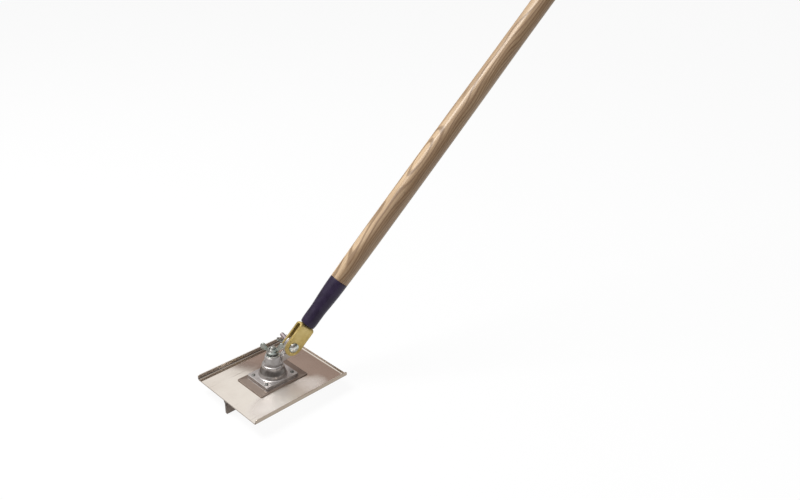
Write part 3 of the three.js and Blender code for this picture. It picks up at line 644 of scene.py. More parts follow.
# sole: a sheet folded up along both sides and turned up at its rear end
sole = {
    "length": 203.2 * mm, "width": 165.1 * mm, "gauge": 1.6 * mm, "lip": 9.5 * mm, "bend": 4 * mm,
    "endLip": 4.8 * mm, "endBend": 3.6 * mm, "corner": 3 * mm, "edge": 0.35 * mm,
}


# The section is walked once round: underside with both bends, over one lip's edge, back along the top, over
# the other.
def soleSection():
    half, lip, gauge = sole["width"] / 2, sole["lip"], sole["gauge"]
    corners = [
        (-half, lip), (-half, 0), (half, 0), (half, lip),
        (half - gauge, lip), (half - gauge, gauge), (-half + gauge, gauge), (-half + gauge, lip),
    ]
    outer, inner, edge = sole["bend"], sole["bend"] - gauge, sole["edge"]
    radii = [edge, outer, outer, edge, edge, inner, inner, edge]
    return finer(softened(corners, radii, 7, closed=True), 2.5 * mm, closed=True)


# Rows run along X. Near each end the lips' height is held under a quarter circle, which rounds their
# corners. Past the bend's start at the rear, the flat between the lips is carried up round the end bend's
# circle.
def buildSole():
    section = soleSection()
    half = sole["length"] / 2
    fromEnd = np.array([0, 0.15, 0.4, 0.8, 1.3, 2.0, 3.0, 4.2]) * mm
    middle = np.linspace(-half + 6 * mm, half - 6 * mm, 70)
    along = np.concatenate([-half + fromEnd, middle, (half - fromEnd)[::-1]])
    x, y, z = carried(section, along)
    inset = np.clip(sole["corner"] - (half - np.abs(x)), 0, sole["corner"])
    ceiling = sole["lip"] - sole["corner"] + np.sqrt(np.maximum(sole["corner"] ** 2 - inset**2, 0))
    z = np.minimum(z, np.where(z > sole["bend"], ceiling, z))
    endBend = sole["endBend"]
    bendStart = half - endBend
    inside = np.abs(y) < sole["width"] / 2 - sole["bend"] - 0.2 * mm
    share = np.clip((x - bendStart) / endBend, 0, 1)
    turn = share * (math.pi / 2)
    radius = endBend - z
    rise = sole["endLip"] - endBend
    curledX = bendStart + radius * np.sin(turn)
    curledZ = endBend - radius * np.cos(turn) + rise * share**6
    curled = inside & (x > bendStart)
    x, z = np.where(curled, curledX, x), np.where(curled, curledZ, z)
    vertices, quads, _ = gridShape(np.stack([x, y, z], -1), lowCap=False, highCap=False)
    cap = filled(section)
    triangles = np.vstack([cap[:, ::-1], cap + len(vertices) - len(section)])
    place = Matrix.Translation((0, 0, soleFoot))
    piece = makePiece("folded_sole", (vertices, quads, triangles), place, soleFinish, 35)
    settle(piece, "sole_unit", ["sole_plate"])


buildSole()

bit = {"depth": 25.4 * mm, "edge": 2.8 * mm, "root": 5.2 * mm, "shoulder": 3.2 * mm, "corner": 2.6 * mm}


# Columns go round the blade's section; rows run along X, and near each end the foot is lifted on a quarter
# circle.
def buildBit():
    low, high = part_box("groover_bit")
    depth, edge, root, shoulder = bit["depth"], bit["edge"] / 2, bit["root"] / 2, bit["shoulder"]
    flare = np.linspace(0, math.pi / 2, 9)
    rightY = root + shoulder * (1 - np.cos(flare))
    rightZ = depth - shoulder * (1 - np.sin(flare))
    wide = edge + 0.1 * mm
    foot = softened([(-wide, 1.2 * mm), (-edge, 0), (edge, 0), (wide, 1.2 * mm)], 0.4 * mm, 3)
    right = np.column_stack([rightY, rightZ])
    left = np.column_stack([-rightY, rightZ])[::-1]
    section = finer(np.vstack([foot, right, left]), 2 * mm, closed=True)
    inset = np.array([0, 0.1, 0.3, 0.6, 1.0, 1.6, 2.2, 2.6]) * mm
    middle = np.linspace(low.x + 5 * mm, high.x - 5 * mm, 50)
    along = np.concatenate([low.x + inset, middle, (high.x - inset)[::-1]])
    x, y, z = carried(section, along)
    fromEnd = np.minimum(x - low.x, high.x - x)
    short = np.clip(bit["corner"] - fromEnd, 0, bit["corner"])
    z = np.maximum(z, bit["corner"] - np.sqrt(np.maximum(bit["corner"] ** 2 - short**2, 0)))
    piece = makePiece("grooving_bit", gridShape(np.stack([x, y, z], -1)), Matrix.Identity(4), bitFinish, 30)
    settle(piece, "sole_unit", ["groover_bit"])


buildBit()

doubler = {"length": 104 * mm, "width": 68 * mm, "corner": 1.6 * mm, "edge": 0.45 * mm}


# A rounded rectangle lofted through the sheet's thickness, with both of its edges eased.
def buildDoubler():
    outline = roundedRectangle(doubler["length"], doubler["width"], doubler["corner"])
    levels = roundedLevels(soleTop, doublerTop, doubler["edge"])
    piece = makePiece("doubler_sheet", loftedBlock(outline, levels), Matrix.Identity(4), doublerFinish, 35)
    settle(piece, "sole_unit", ["doubler_plate"])


buildDoubler()
print("sole, bit and doubler made")

base = {
    "length": 71 * mm, "width": 56 * mm, "flange": 6.4 * mm, "corner": 2.6 * mm, "edge": 1.1 * mm,
    "skirt": 23.8 * mm, "fillet": 2.7 * mm, "neck": 19.3 * mm, "neckRound": 3.6 * mm, "skew": 1.1,
    "rivetEnd": 7 * mm, "rivetSide": 9.5 * mm, "lastRing": 6 * mm, "draft": 0.9 * mm,
    "side": [[0, 0.4], [0.15, 0.1], [0.4, 0], [3.2, -0.3], [5.3, -0.75]],
}


# Where the four rivets stand
def rivetPlaces():
    x, y = base["length"] / 2 - base["rivetEnd"], base["width"] / 2 - base["rivetSide"]
    return np.array([(-x, -y), (-x, y), (x, y), (x, -y)])


# Polar grid: every column is one direction. A column climbs the flange's side, whose distance is that of a
# rounded rectangle in that direction, runs inwards over the flange's top, and then follows the boss's
# turned profile, whose radius falls in an S: r = skirt - (skirt - neck) (3 u^2 - 2 u^3), where u is the
# share of the height to the power skew. The side is given in millimetres, as heights and what is added to
# the distance there. The last ring lies on the boss's flat top, and a fan closes it.
def buildCasting():
    columns = 720
    angle = np.arange(columns) * tau / columns
    outline = roundedRectangle(base["length"], base["width"], base["corner"], 10, 0.4 * mm)
    reach = np.linalg.norm(outline, axis=1)
    bearing = np.arctan2(outline[:, 1], outline[:, 0]) % tau
    order = np.argsort(bearing)
    rim = np.interp(angle, bearing[order], reach[order], period=tau)
    side = np.array(base["side"]) * mm
    turn = np.linspace(0, math.pi / 2, 6)[1:]
    edge = base["edge"]
    overOut = side[-1, 1] - edge * (1 - np.cos(turn))
    over = np.column_stack([base["flange"] - edge * (1 - np.sin(turn)), overOut])
    climb = np.vstack([side, over])
    flangeRadius = rim[None, :] + climb[:, 1:] + base["draft"] * 0.6
    flangeHeight = np.repeat(climb[:, :1], columns, 1)
    top = base["flange"]
    filletRound = base["fillet"]
    filletEnd = base["skirt"] + filletRound
    across = np.linspace(0, 1, 42)[1:, None]
    flatRadius = flangeRadius[-1] + (filletEnd - flangeRadius[-1]) * across
    flatHeight = np.full_like(flatRadius, top)
    filletTurn = np.linspace(0, math.pi / 2, 8)[1:]
    filletHeight = top + filletRound * (1 - np.cos(filletTurn))
    fillet = np.column_stack([filletEnd - filletRound * np.sin(filletTurn), filletHeight])
    neckTop = castingTop - doublerTop
    share = np.linspace(0, 1, 26)[1:]
    skewed = share ** base["skew"]
    inward = (base["skirt"] - base["neck"]) * skewed**2 * (3 - 2 * skewed)
    roundFoot = neckTop - base["neckRound"]
    rise = (roundFoot - top - filletRound) * share
    skirt = np.column_stack([base["skirt"] - inward, top + filletRound + rise])
    neckRadius = base["neck"] - base["neckRound"] * (1 - np.cos(turn))
    neck = np.column_stack([neckRadius, roundFoot + base["neckRound"] * np.sin(turn)])
    boss = np.vstack([fillet, skirt, neck, [[base["lastRing"], neckTop]]])
    bossRadius, bossHeight = np.repeat(boss[:, :1], columns, 1), np.repeat(boss[:, 1:], columns, 1)
    radius = np.vstack([flangeRadius, flatRadius, bossRadius])
    height = np.vstack([flangeHeight, flatHeight, bossHeight])
    points = np.stack([radius * np.cos(angle), radius * np.sin(angle), height], -1)
    piece = makePiece("cast_base", gridShape(points), Matrix.Translation((0, 0, doublerTop)), castFinish, 50)
    settle(piece, "sole_unit", ["base_casting"])


buildCasting()

rivet = {"head": 3.3 * mm, "dome": 2.1 * mm, "edge": 0.6 * mm, "shank": 2.3 * mm, "depth": 3 * mm}


# A plain shank that ends inside the flange, and a shallow domed head on it.
def buildRivets():
    seat = doublerTop + base["flange"]
    dome = domeProfile(rivet["head"], rivet["edge"], rivet["dome"], 0, 12)
    foot, shank = -rivet["depth"], rivet["shank"]
    profile = np.vstack([[[0, foot], [shank, foot], [shank, -0.2 * mm], [rivet["head"], 0]], dome])
    for n, (x, y) in enumerate(rivetPlaces()):
        place = Matrix.Translation((x, y, seat))
        piece = makePiece(f"flange_rivet_{n + 1}", turned(profile, 48), place, rivetPaintedShadeFinish)
        settle(piece, "sole_unit", [f"base_rivet_{n + 1}"])


buildRivets()
print("casting and rivets made")

head = {
    "foot": 16.1 * mm, "flare": 1.5 * mm, "flareBy": 1.5 * mm, "rim": 12.8 * mm,
    "height": 15.4 * mm, "rimRound": 0.6 * mm, "bore": 5.05 * mm, "reach": 37.1 * mm,
    "lug": 15.2 * mm, "lugHalf": 3.7 * mm, "lugEdge": 0.9 * mm, "lugDrop": 3 * mm,
    "armStart": 7 * mm, "armLift": 1 * mm, "armFoot": 15 * mm,
    "rootHalf": 6.2 * mm, "rootEdge": 2.6 * mm, "rootDrop": 4 * mm, "earRoom": 16.9 * mm, "voxel": 0.42 * mm,
}


# Collar: a cone that flares at its foot, r = rim + (foot - rim)(1 - h / height) + flareBy e^(-h / flare),
# with half the rim's rounding added, a rounded rim, and a bore.
def collarShape():
    top = headFoot + head["height"]
    above = np.linspace(0.5 * mm, head["height"] - 1 * mm, 24)
    spread = head["foot"] - head["rim"]
    coneRadius = head["rim"] + head["rimRound"] / 2 + spread * (1 - above / head["height"])
    side = np.column_stack([coneRadius + head["flareBy"] * np.exp(-above / head["flare"]), headFoot + above])
    rim = softened([side[-1], (head["rim"], top), (head["bore"], top)], head["rimRound"], 4)
    profile = np.vstack([[[head["bore"], headFoot], [head["foot"], headFoot]], side[:-1], rim])
    return turnedRing(profile, 128)


# Arm and lug: a side outline in the head's own X and Z, given a thickness along Y with rounded edges. The
# arm leaves the collar just under its rim and drops a little on the way to the lug.
def armShape(half, edge, lugRadius, drop):
    start, foot = head["armStart"], headFoot + head["armLift"]
    crown = headFoot + head["height"] - head["rimRound"]
    turn = np.radians(np.linspace(-60, 180, 64))
    lug = np.column_stack([head["reach"] + lugRadius * np.cos(turn), pivotPoint.z + lugRadius * np.sin(turn)])
    left = head["reach"] - lugRadius
    corners = np.vstack([
        [[start, foot], [head["armFoot"], foot]], lug,
        [[left, crown], [left - drop, crown - drop], [start, crown - drop]],
    ])
    outline = finer(corners, 1.5 * mm, closed=True)[::-1]
    vertices, quads, triangles = loftedBlock(outline, roundedLevels(-half, half, edge))
    return vertices[:, [0, 2, 1]], quads, triangles


# The thick root keeps out of the circle that the clevis ears sweep: points inside it are pushed to its edge.
def rootShape():
    lugRadius = head["lug"] - 2 * mm
    vertices, quads, triangles = armShape(head["rootHalf"], head["rootEdge"], lugRadius, head["rootDrop"])
    away = vertices[:, [0, 2]] - np.array([head["reach"], pivotPoint.z])
    distance = np.maximum(np.linalg.norm(away, axis=1), 1e-6)
    longer = np.maximum(distance, head["earRoom"]) / distance
    pushed = np.array([head["reach"], pivotPoint.z]) + away * longer[:, None]
    vertices = vertices.copy()
    vertices[:, 0] = pushed[:, 0]
    vertices[:, 2] = np.minimum(pushed[:, 1], headFoot + head["height"] - 1.2 * mm)
    return vertices, quads, triangles


# Fuses overlapping shapes into one skin on a fine lattice and smooths it, so that joints get a cast blend.
def fuse(piece, voxel, smoothing, finish):
    remesh = piece.modifiers.new("fuse", "REMESH")
    remesh.mode, remesh.voxel_size, remesh.use_smooth_shade = "VOXEL", voxel, True
    relax = piece.modifiers.new("relax", "SMOOTH")
    relax.iterations, relax.factor = smoothing, 0.5
    bpy.context.view_layer.update()
    evaluated = piece.evaluated_get(bpy.context.evaluated_depsgraph_get())
    mesh = bpy.data.meshes.new_from_object(evaluated)
    piece.modifiers.clear()
    piece.data = mesh
    mesh.materials.clear()
    mesh.materials.append(finish)
    mesh.shade_smooth()


# The collar, the lug and the thick root overlap, and are fused into one cast skin.
def buildHead():
    lug = armShape(head["lugHalf"], head["lugEdge"], head["lug"], head["lugDrop"])
    piece = makePiece("cast_head", together(collarShape(), lug, rootShape()), headFrame, castFinish)
    fuse(piece, head["voxel"], 3, castFinish)
    settle(piece, "swivel_arm", ["swivel_head"])


buildHead()
print("swivel head made")

studThread = {"depth": 0.16 * mm, "pitch": 1.6 * mm, "chamfer": 1.3 * mm}
boltThread = {"depth": 0.36 * mm, "pitch": 1.4 * mm, "chamfer": 0.9 * mm}


# A threaded rod about Z: the radius is cut by a triangle wave of (height / pitch - angle / full turn),
# which fades in over the first pitch, and falls away over the end's chamfer.
def threadedRod(radius, low, threadStart, high, thread, columns):
    depth, pitch, chamfer = thread["depth"], thread["pitch"], thread["chamfer"]
    plain = np.linspace(low, threadStart, 8)[:-1]
    cut = np.arange(threadStart, high + 1e-9, pitch / 7)
    height = np.concatenate([plain, cut, [high]])[:, None]
    angle = (np.arange(columns) * tau / columns)[None, :]
    phase = (height / pitch - angle / tau) % 1
    groove = np.abs(phase * 2 - 1)
    fade = np.clip((height - threadStart) / pitch, 0, 1)
    bevel = np.clip((height - (high - chamfer)) / chamfer, 0, 1) * chamfer
    r = radius - depth * (1 - groove) * fade - bevel
    x, y = r * np.cos(angle), r * np.sin(angle)
    return gridShape(np.stack([x, y, np.broadcast_to(height, x.shape)], -1))


# A hexagon about Z: its corners stand at the width across flats over root three, and its edges are eased.
def hexagonShape(acrossFlats, low, high):
    radius = acrossFlats / math.sqrt(3)
    corners = [(radius * math.cos(n * tau / 6), radius * math.sin(n * tau / 6)) for n in range(6)]
    outline = finer(softened(corners, 0.4 * mm, 3, closed=True), 1.2 * mm, closed=True)
    return loftedBlock(outline, roundedLevels(low, high, 0.5 * mm))


stud = {
    "radius": 4.75 * mm, "acrossFlats": 14.3 * mm, "headHeight": 6.1 * mm, "pocket": 12 * mm,
    "rodStart": 1 * mm, "threadBelow": 3 * mm,
}


# A bolt that stands on its head inside the casting, and is threaded from a little below the flat washer to
# its end.
def buildStud():
    headTop = doublerTop + stud["pocket"]
    bolt = hexagonShape(stud["acrossFlats"], headTop - stud["headHeight"], headTop)
    rodFoot, threadFoot = headTop - stud["rodStart"], washerFoot - stud["threadBelow"]
    rod = threadedRod(stud["radius"], rodFoot, threadFoot, studTop, studThread, 56)
    piece = makePiece("swivel_bolt", together(bolt, rod), Matrix.Identity(4), zincFinish, 50)
    settle(piece, "sole_unit", ["swivel_stud"])


buildStud()


# A flat washer: a rectangle with eased corners turned about Z.
def washerShape(outer, hole, low, high, ease=0.3 * mm):
    corners = [(hole, low), (outer, low), (outer, high), (hole, high)]
    return turnedRing(softened(corners, ease, 3, closed=True), 96)


# A split spring washer: a square section carried once round a slightly rising helix, with both ends cut
# square.
def springShape(outer, hole, low, high, gap=0.22, columns=90):
    lift = (high - low) * 0.16
    corners = [(hole, low), (outer, low), (outer, high - lift), (hole, high - lift)]
    section = softened(corners, 0.3 * mm, 3, closed=True)
    angle = np.linspace(gap / 2, tau - gap / 2, columns)
    rise = lift * (angle / tau)
    radius = np.repeat(section[None, :, 0], columns, 0)
    x, y = radius * np.cos(angle)[:, None], radius * np.sin(angle)[:, None]
    z = section[None, :, 1] + rise[:, None]
    return gridShape(np.stack([x, y, z], -1))


studStack = {"washer": 11.8 * mm, "spring": 10.6 * mm, "hole": 5.05 * mm, "splitTurn": math.radians(70)}


# The flat washer and the split washer under the stud's wing nut.
def buildStudStack():
    hole = studStack["hole"]
    shape = washerShape(studStack["washer"], hole, washerFoot, springFoot)
    flat = makePiece("head_washer", shape, Matrix.Identity(4), washerFinish)
    settle(flat, "sole_unit", ["stud_washer"])
    low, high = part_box("stud_spring_washer")
    turn = Matrix.Rotation(studStack["splitTurn"], 4, "Z")
    spring = makePiece("head_spring", springShape(studStack["spring"], hole, low.z, high.z), turn, springPaintedShadeFinish)
    settle(spring, "sole_unit", ["stud_spring_washer"])


buildStudStack()


# a wing's shape, as shares of its nut's reach, hub height, base height and thickness
wing = {"lobe": 0.22, "back": 0.98, "backRoot": 0.8, "frontRoot": 0.55, "easing": 0.36}


# A forged wing nut about Z: a stepped hub, and on each side a flat wing with rounded edges that rises from
# the hub's wall and ends in a round lobe.
def wingNutShape(nut):
    base, hub = nut["base"], nut["hub"]
    corners = [
        (nut["bore"], 0), (base, 0), (base, nut["baseHeight"] - (base - hub)),
        (hub, nut["baseHeight"]), (hub - 0.3 * mm, nut["hubHeight"]), (nut["bore"], nut["hubHeight"]),
    ]
    body = turnedRing(softened(corners, 0.7 * mm, 4, closed=True), 72)
    root = (hub + nut["bore"]) / 2
    lobe = nut["reach"] * wing["lobe"]
    turn = np.radians(np.linspace(-55, 125, 30))
    centre = np.array([nut["reach"] - lobe, nut["height"] - lobe])
    tip = centre + lobe * np.column_stack([np.cos(turn), np.sin(turn)])
    back = [[hub + 0.6 * mm, nut["hubHeight"] * wing["back"]], [root, nut["hubHeight"] * wing["backRoot"]]]
    outline = np.vstack([[[root, nut["baseHeight"] * wing["frontRoot"]]], tip, back])
    outline = finer(outline, 0.8 * mm, closed=True)[::-1]
    thick = nut["thick"]
    levels = roundedLevels(-thick / 2, thick / 2, thick * wing["easing"])
    vertices, quads, triangles = loftedBlock(outline, levels)
    right = vertices[:, [0, 2, 1]]
    left = right * np.array([-1, -1, 1])
    return together(body, (right, quads, triangles), (left, quads, triangles))


studNut = {
    "base": 10.4 * mm, "baseHeight": 4 * mm, "hub": 7.2 * mm, "hubHeight": 8 * mm, "reach": 20.6 * mm,
    "height": 17.2 * mm, "thick": 3.4 * mm, "bore": 5.05 * mm, "voxel": 0.3 * mm, "turn": math.radians(137),
}
boltNut = {
    "base": 7.7 * mm, "baseHeight": 3.4 * mm, "hub": 6.2 * mm, "hubHeight": 7.6 * mm, "reach": 17.6 * mm,
    "height": 16.4 * mm, "thick": 2.8 * mm, "bore": 4.25 * mm, "voxel": 0.26 * mm, "turn": math.radians(-118),
}
boltStack = {
    "washer": 8.7 * mm, "washerGauge": 1.6 * mm, "spring": 7.4 * mm, "springGauge": 2.1 * mm, "hole": 4.25 * mm,
    "earOuter": 8 * mm, "gap": 0.3 * mm, "boltLength": 50.8 * mm,
}
# places along the carriage bolt, from the middle of the clevis
boltWasherFoot = boltStack["earOuter"] + boltStack["gap"]
boltSpringFoot = boltWasherFoot + boltStack["washerGauge"] + boltStack["gap"]
boltNutFoot = boltSpringFoot + boltStack["springGauge"] + boltStack["gap"]
boltEnd = boltStack["boltLength"] - boltStack["earOuter"] - boltStack["gap"]


# Both nuts are turned and set on their bolts, and each is fused into one forged skin.
def buildWingNuts():
    place = Matrix.Translation((0, 0, studNutFoot)) @ Matrix.Rotation(studNut["turn"], 4, "Z")
    nut = makePiece("head_wing_nut", wingNutShape(studNut), place, zincFinish)
    fuse(nut, studNut["voxel"], 4, zincFinish)
    settle(nut, "stud_nut", ["stud_wing_nut"])
    place = boltFrame @ Matrix.Translation((0, 0, boltNutFoot)) @ Matrix.Rotation(boltNut["turn"], 4, "Z")
    nut = makePiece("clevis_wing_nut", wingNutShape(boltNut), place, zincFinish)
    fuse(nut, boltNut["voxel"], 4, zincFinish)
    settle(nut, "pivot_nut", ["pivot_wing_nut"])


buildWingNuts()


# The flat washer and the split washer between the clevis ear and the bolt's wing nut.
def buildBoltStack():
    hole = boltStack["hole"]
    shape = washerShape(boltStack["washer"], hole, boltWasherFoot, boltWasherFoot + boltStack["washerGauge"])
    flat = makePiece("clevis_washer", shape, boltFrame, washerFinish)
    settle(flat, "handle", ["pivot_washer"])
    shape = springShape(boltStack["spring"], hole, boltSpringFoot, boltSpringFoot + boltStack["springGauge"])
    spring = makePiece("clevis_spring", shape, boltFrame, springPaintedShadeFinish)
    settle(spring, "handle", ["pivot_spring_washer"])


buildBoltStack()
print("nuts and washers made")

clevis = {
    "width": 32 * mm, "gauge": 4 * mm, "bend": 7.1 * mm, "web": 45.3 * mm, "outer": 8 * mm, "corner": 6 * mm,
    "edge": 0.6 * mm, "earSteps": 26,
}


# The strap: a path runs up one ear, round the bend and down the other. At every station a rounded rectangle
# stands across the path. Its half width at a place x is that of the side view: sqrt(R^2 - x^2) over the
# ear's round end, and R - c + sqrt(c^2 - d^2) over the web's corners, where d is how far x has come into
# the corner c.
def buildClevis():
    half, gauge, outer = clevis["width"] / 2, clevis["gauge"], clevis["outer"]
    middle = outer - gauge / 2
    bendRadius = clevis["bend"] - gauge / 2
    web = clevis["web"] - gauge / 2
    corners = [(-half, -middle), (web, -middle), (web, middle), (-half, middle)]
    straight = softened(corners, bendRadius, 16)
    steps = clevis["earSteps"]
    near = -half * np.cos(np.linspace(0, math.pi / 2, steps))[:-1]
    start = np.column_stack([near, np.full(len(near), -middle)])
    end = start[::-1] * np.array([1, -1])
    path = np.vstack([start, [[0, -middle]], finer(straight[1:-1], 2.5 * mm), [[0, middle]], end])
    tangent = np.gradient(path, axis=0)
    tangent[:steps] = (1, 0)
    tangent[-steps:] = (-1, 0)
    tangent /= np.linalg.norm(tangent, axis=1)[:, None]
    normal = np.stack([tangent[:, 1], -tangent[:, 0]], -1)
    section = finer(softened([(-1, -1), (1, -1), (1, 1), (-1, 1)], 0, 1, closed=True), 0.25, closed=True)
    easing = clevis["edge"]
    thick = section[None, :, 0] * (gauge / 2)
    x = path[:, :1] + normal[:, :1] * thick
    width = np.sqrt(np.maximum(half**2 - np.minimum(x, 0) ** 2, (0.6 * mm) ** 2))
    toWeb = np.clip(x - (clevis["web"] - clevis["corner"]), 0, clevis["corner"])
    width -= clevis["corner"] - np.sqrt(np.maximum(clevis["corner"] ** 2 - toWeb**2, 0))
    tall = section[None, :, 1] * width
    square = np.abs(section[:, 0]) > 0.999
    upright = np.abs(section[:, 1]) > 0.999
    corner = (square & upright)[None, :]
    tall = np.where(corner, tall - np.sign(tall) * easing * 0.3, tall)
    thick = np.where(corner, thick - np.sign(thick) * easing * 0.3, np.broadcast_to(thick, tall.shape))
    x = path[:, :1] + normal[:, :1] * thick
    y = path[:, 1:] + normal[:, 1:] * thick
    piece = makePiece("bent_strap", gridShape(np.stack([x, y, tall], -1)), tiltFrame, yellowFinish, 32)
    settle(piece, "handle", ["clevis_strap"])


buildClevis()

carriage = {
    "head": 9.15 * mm, "dome": 4.6 * mm, "rim": 0.7 * mm, "radius": 3.95 * mm, "neck": 3.95 * mm,
    "neckEnd": -4.2 * mm, "rodStart": -4.4 * mm, "threadStart": 6 * mm,
}


# The head is a slice of a sphere with a thin straight rim, under it stands a square neck, and the shank is
# threaded from inside the clevis outwards.
def buildCarriageBolt():
    seat = boltStack["earOuter"] + boltStack["gap"]
    radius, rim = carriage["head"], carriage["rim"]
    height = carriage["dome"] - rim
    sphere = (radius**2 + height**2) / (2 * height)
    widest = math.asin(radius / sphere)
    angle = np.linspace(0, widest, 24)
    dome = np.column_stack([sphere * np.sin(angle), -seat - rim - height + sphere * (1 - np.cos(angle))])
    foot = [[radius, -seat - 0.15 * mm], [radius - 0.3 * mm, -seat], [2 * mm, -seat], [0, -seat]]
    profile = np.vstack([dome, foot])
    neck = carriage["neck"]
    corners = [(neck, neck), (-neck, neck), (-neck, -neck), (neck, -neck)]
    outline = finer(softened(corners, 0.3 * mm, 3, closed=True), 1.5 * mm, closed=True)
    square = loftedBlock(outline, [[-seat - 0.2 * mm, 0], [carriage["neckEnd"], 0]])
    rodStart, threadStart = carriage["rodStart"], carriage["threadStart"]
    rod = threadedRod(carriage["radius"], rodStart, threadStart, boltEnd, boltThread, 48)
    piece = makePiece("carriage_bolt", together(turned(profile, 96), square, rod), boltFrame, boltFinish, 45)
    settle(piece, "handle", ["pivot_bolt"])


buildCarriageBolt()
print("clevis and bolt made")

socket = {
    "foot": 45.6 * mm, "length": 95.7 * mm, "footRadius": 13.3 * mm, "neck": 14.3 * mm, "mouth": 17.1 * mm,
    "wall": 1.5 * mm, "floor": 3.2 * mm, "neckStart": 9.7 * mm, "neckEnd": 33.7 * mm, "edge": 1.6 * mm,
    "rivetHole": 3.1 * mm,
}
socketMouth = socket["foot"] + socket["length"]


# Outer radius above the foot: it eases into the neck, stays, and flares to the mouth on a quarter sine.
def socketRadius(height):
    start = np.clip(height / socket["neckStart"], 0, 1)
    rise = np.clip((height - socket["neckEnd"]) / (socket["length"] - socket["neckEnd"]), 0, 1)
    low = socket["footRadius"] + (socket["neck"] - socket["footRadius"]) * np.sin(start * math.pi / 2)
    return low + (socket["mouth"] - socket["neck"]) * np.sin(rise * math.pi / 2)


# A cup turned about the handle's axis: round the foot, up the outside, over the lip, down inside and over
# the floor, which has the rivet's hole in its middle.
def buildSocket():
    height = np.linspace(socket["edge"], socket["length"] - 0.35 * mm, 60)
    outer = np.column_stack([socketRadius(height), height])
    turn = np.linspace(0, math.pi / 2, 7)[:-1]
    edge = socket["edge"]
    footRadius = socketRadius(np.array([edge]))[0]
    foot = np.column_stack([footRadius - edge * (1 - np.sin(turn)), edge * (1 - np.cos(turn))])
    back = np.linspace(socket["length"], socket["floor"], 30)
    inner = np.column_stack([socketRadius(back) - socket["wall"], back])
    mouth, length = socket["mouth"], socket["length"]
    lip = [[mouth - 0.12 * mm, length - 0.1 * mm], [mouth - 0.5 * mm, length]]
    hole = socket["rivetHole"]
    profile = np.vstack([[[hole, 0]], foot, outer, lip, inner, [[hole, socket["floor"]]]])
    place = tiltFrame @ Matrix.Translation((socket["foot"], 0, 0)) @ Matrix.Rotation(math.pi / 2, 4, "Y")
    piece = makePiece("flared_socket", turnedRing(profile, 128), place, enamelFinish, 35)
    settle(piece, "handle", ["handle_socket"])


buildSocket()

handle = {
    "tip": 52.5 * mm, "length": 1524 * mm, "swell": 18.4 * mm, "shaft": 17.3 * mm, "swellStart": 110 * mm,
    "swellEnd": 300 * mm, "shaftStart": 560 * mm, "end": 12 * mm, "tenonGap": 0.3 * mm, "wander": 0.12 * mm,
}


# The shaft's radius past the socket's mouth: a quarter sine up to the swell, level, then half a cosine down
# again.
def handleRadius(place):
    past = place - socketMouth
    up = np.sin(np.clip(past / handle["swellStart"], 0, 1) * math.pi / 2)
    fall = np.clip((past - handle["swellEnd"]) / (handle["shaftStart"] - handle["swellEnd"]), 0, 1)
    down = (1 - np.cos(fall * math.pi)) / 2
    swell, shaft = handle["swell"], handle["shaft"]
    return socket["mouth"] + (swell - socket["mouth"]) * up - (swell - shaft) * down


# Rows follow the handle. Its surface wanders by a tenth of a millimetre in slow waves, as a turned ash pole
# does.
def buildHandle():
    end = handle["tip"] + handle["length"]
    tenon = np.linspace(handle["tip"], socketMouth, 12)
    tenonRadius = socketRadius(tenon - socket["foot"]) - socket["wall"] - handle["tenonGap"]
    shoulder = [socketMouth + 0.3 * mm, socketMouth + 0.6 * mm]
    shaft = np.concatenate([shoulder, np.linspace(socketMouth + 3 * mm, end - handle["end"], 360)])
    shaftRadius = handleRadius(shaft)
    shaftRadius[0] -= 0.35 * mm
    turn = np.linspace(0, math.pi / 2, 14)[1:-1]
    endPlace = end - handle["end"] + handle["end"] * np.sin(turn)
    endRadius = handle["shaft"] * np.cos(turn)
    place = np.concatenate([tenon, shaft, endPlace])[:, None]
    radius = np.concatenate([tenonRadius, shaftRadius, endRadius])[:, None]
    angle = (np.arange(96) * tau / 96)[None, :]
    waves = np.sin(place * 21 + 2 * np.sin(angle)) * np.cos(angle * 2 + place * 9)
    radius = radius - handle["wander"] * (1 + waves) * (place > socketMouth + 4 * mm) * 0.5
    x = np.broadcast_to(place, (len(place), angle.shape[1]))
    points = np.stack([x, radius * np.cos(angle), radius * np.sin(angle)], -1)
    piece = makePiece("ash_handle", gridShape(points), tiltFrame, ashFinish, 40)
    settle(piece, "handle", ["wood_handle"])


buildHandle()

pin = {
    "head": 3.5 * mm, "height": 1.3 * mm, "rim": 0.25 * mm, "fromMouth": 24 * mm, "shank": 2 * mm,
    "inside": 4 * mm,
}


# A plain shank that starts inside the wood, and a shallow domed head on the socket.
def buildPin():
    height = socket["length"] - pin["fromMouth"]
    seat = socketRadius(np.array([height]))[0] + 0.3 * mm
    dome = domeProfile(pin["head"], pin["rim"], pin["height"], seat, 10)
    inside, radius = pin["inside"], pin["shank"]
    shank = [[0, inside], [radius, inside], [radius, seat], [pin["head"] - 0.2 * mm, seat]]
    profile = np.vstack([shank, dome])
    out = Matrix.Translation((socketMouth - pin["fromMouth"], 0, 0))
    place = tiltFrame @ out @ Matrix.Rotation(math.pi, 4, "X")
    piece = makePiece("socket_pin", turned(profile, 40), place, zincFinish)
    settle(piece, "handle", ["handle_pin"])


buildPin()

# the rivet inside the clevis keeps its own solid, in zinc
insideRivet = frame["nodes"]["web_rivet"]
insideRivet.data.materials.clear()
insideRivet.data.materials.append(zincFinish)
print("socket and handle made")

studio = {
    "floor": 9.0, "floorDrop": 0.5 * mm, "ambient": 0.46, "shadowShare": 0.09, "mirroredShare": 0.8,
    "wallRadius": 3.2, "aim": (0.2, 0, 0.4), "keyPlace": (-1.1, 0.8, 3.0), "keySize": 1.5, "key": 88.0,
    "fillPlace": (-1.8, -2.4, 1.9), "fillSize": 2.4, "fill": 10.0,
}
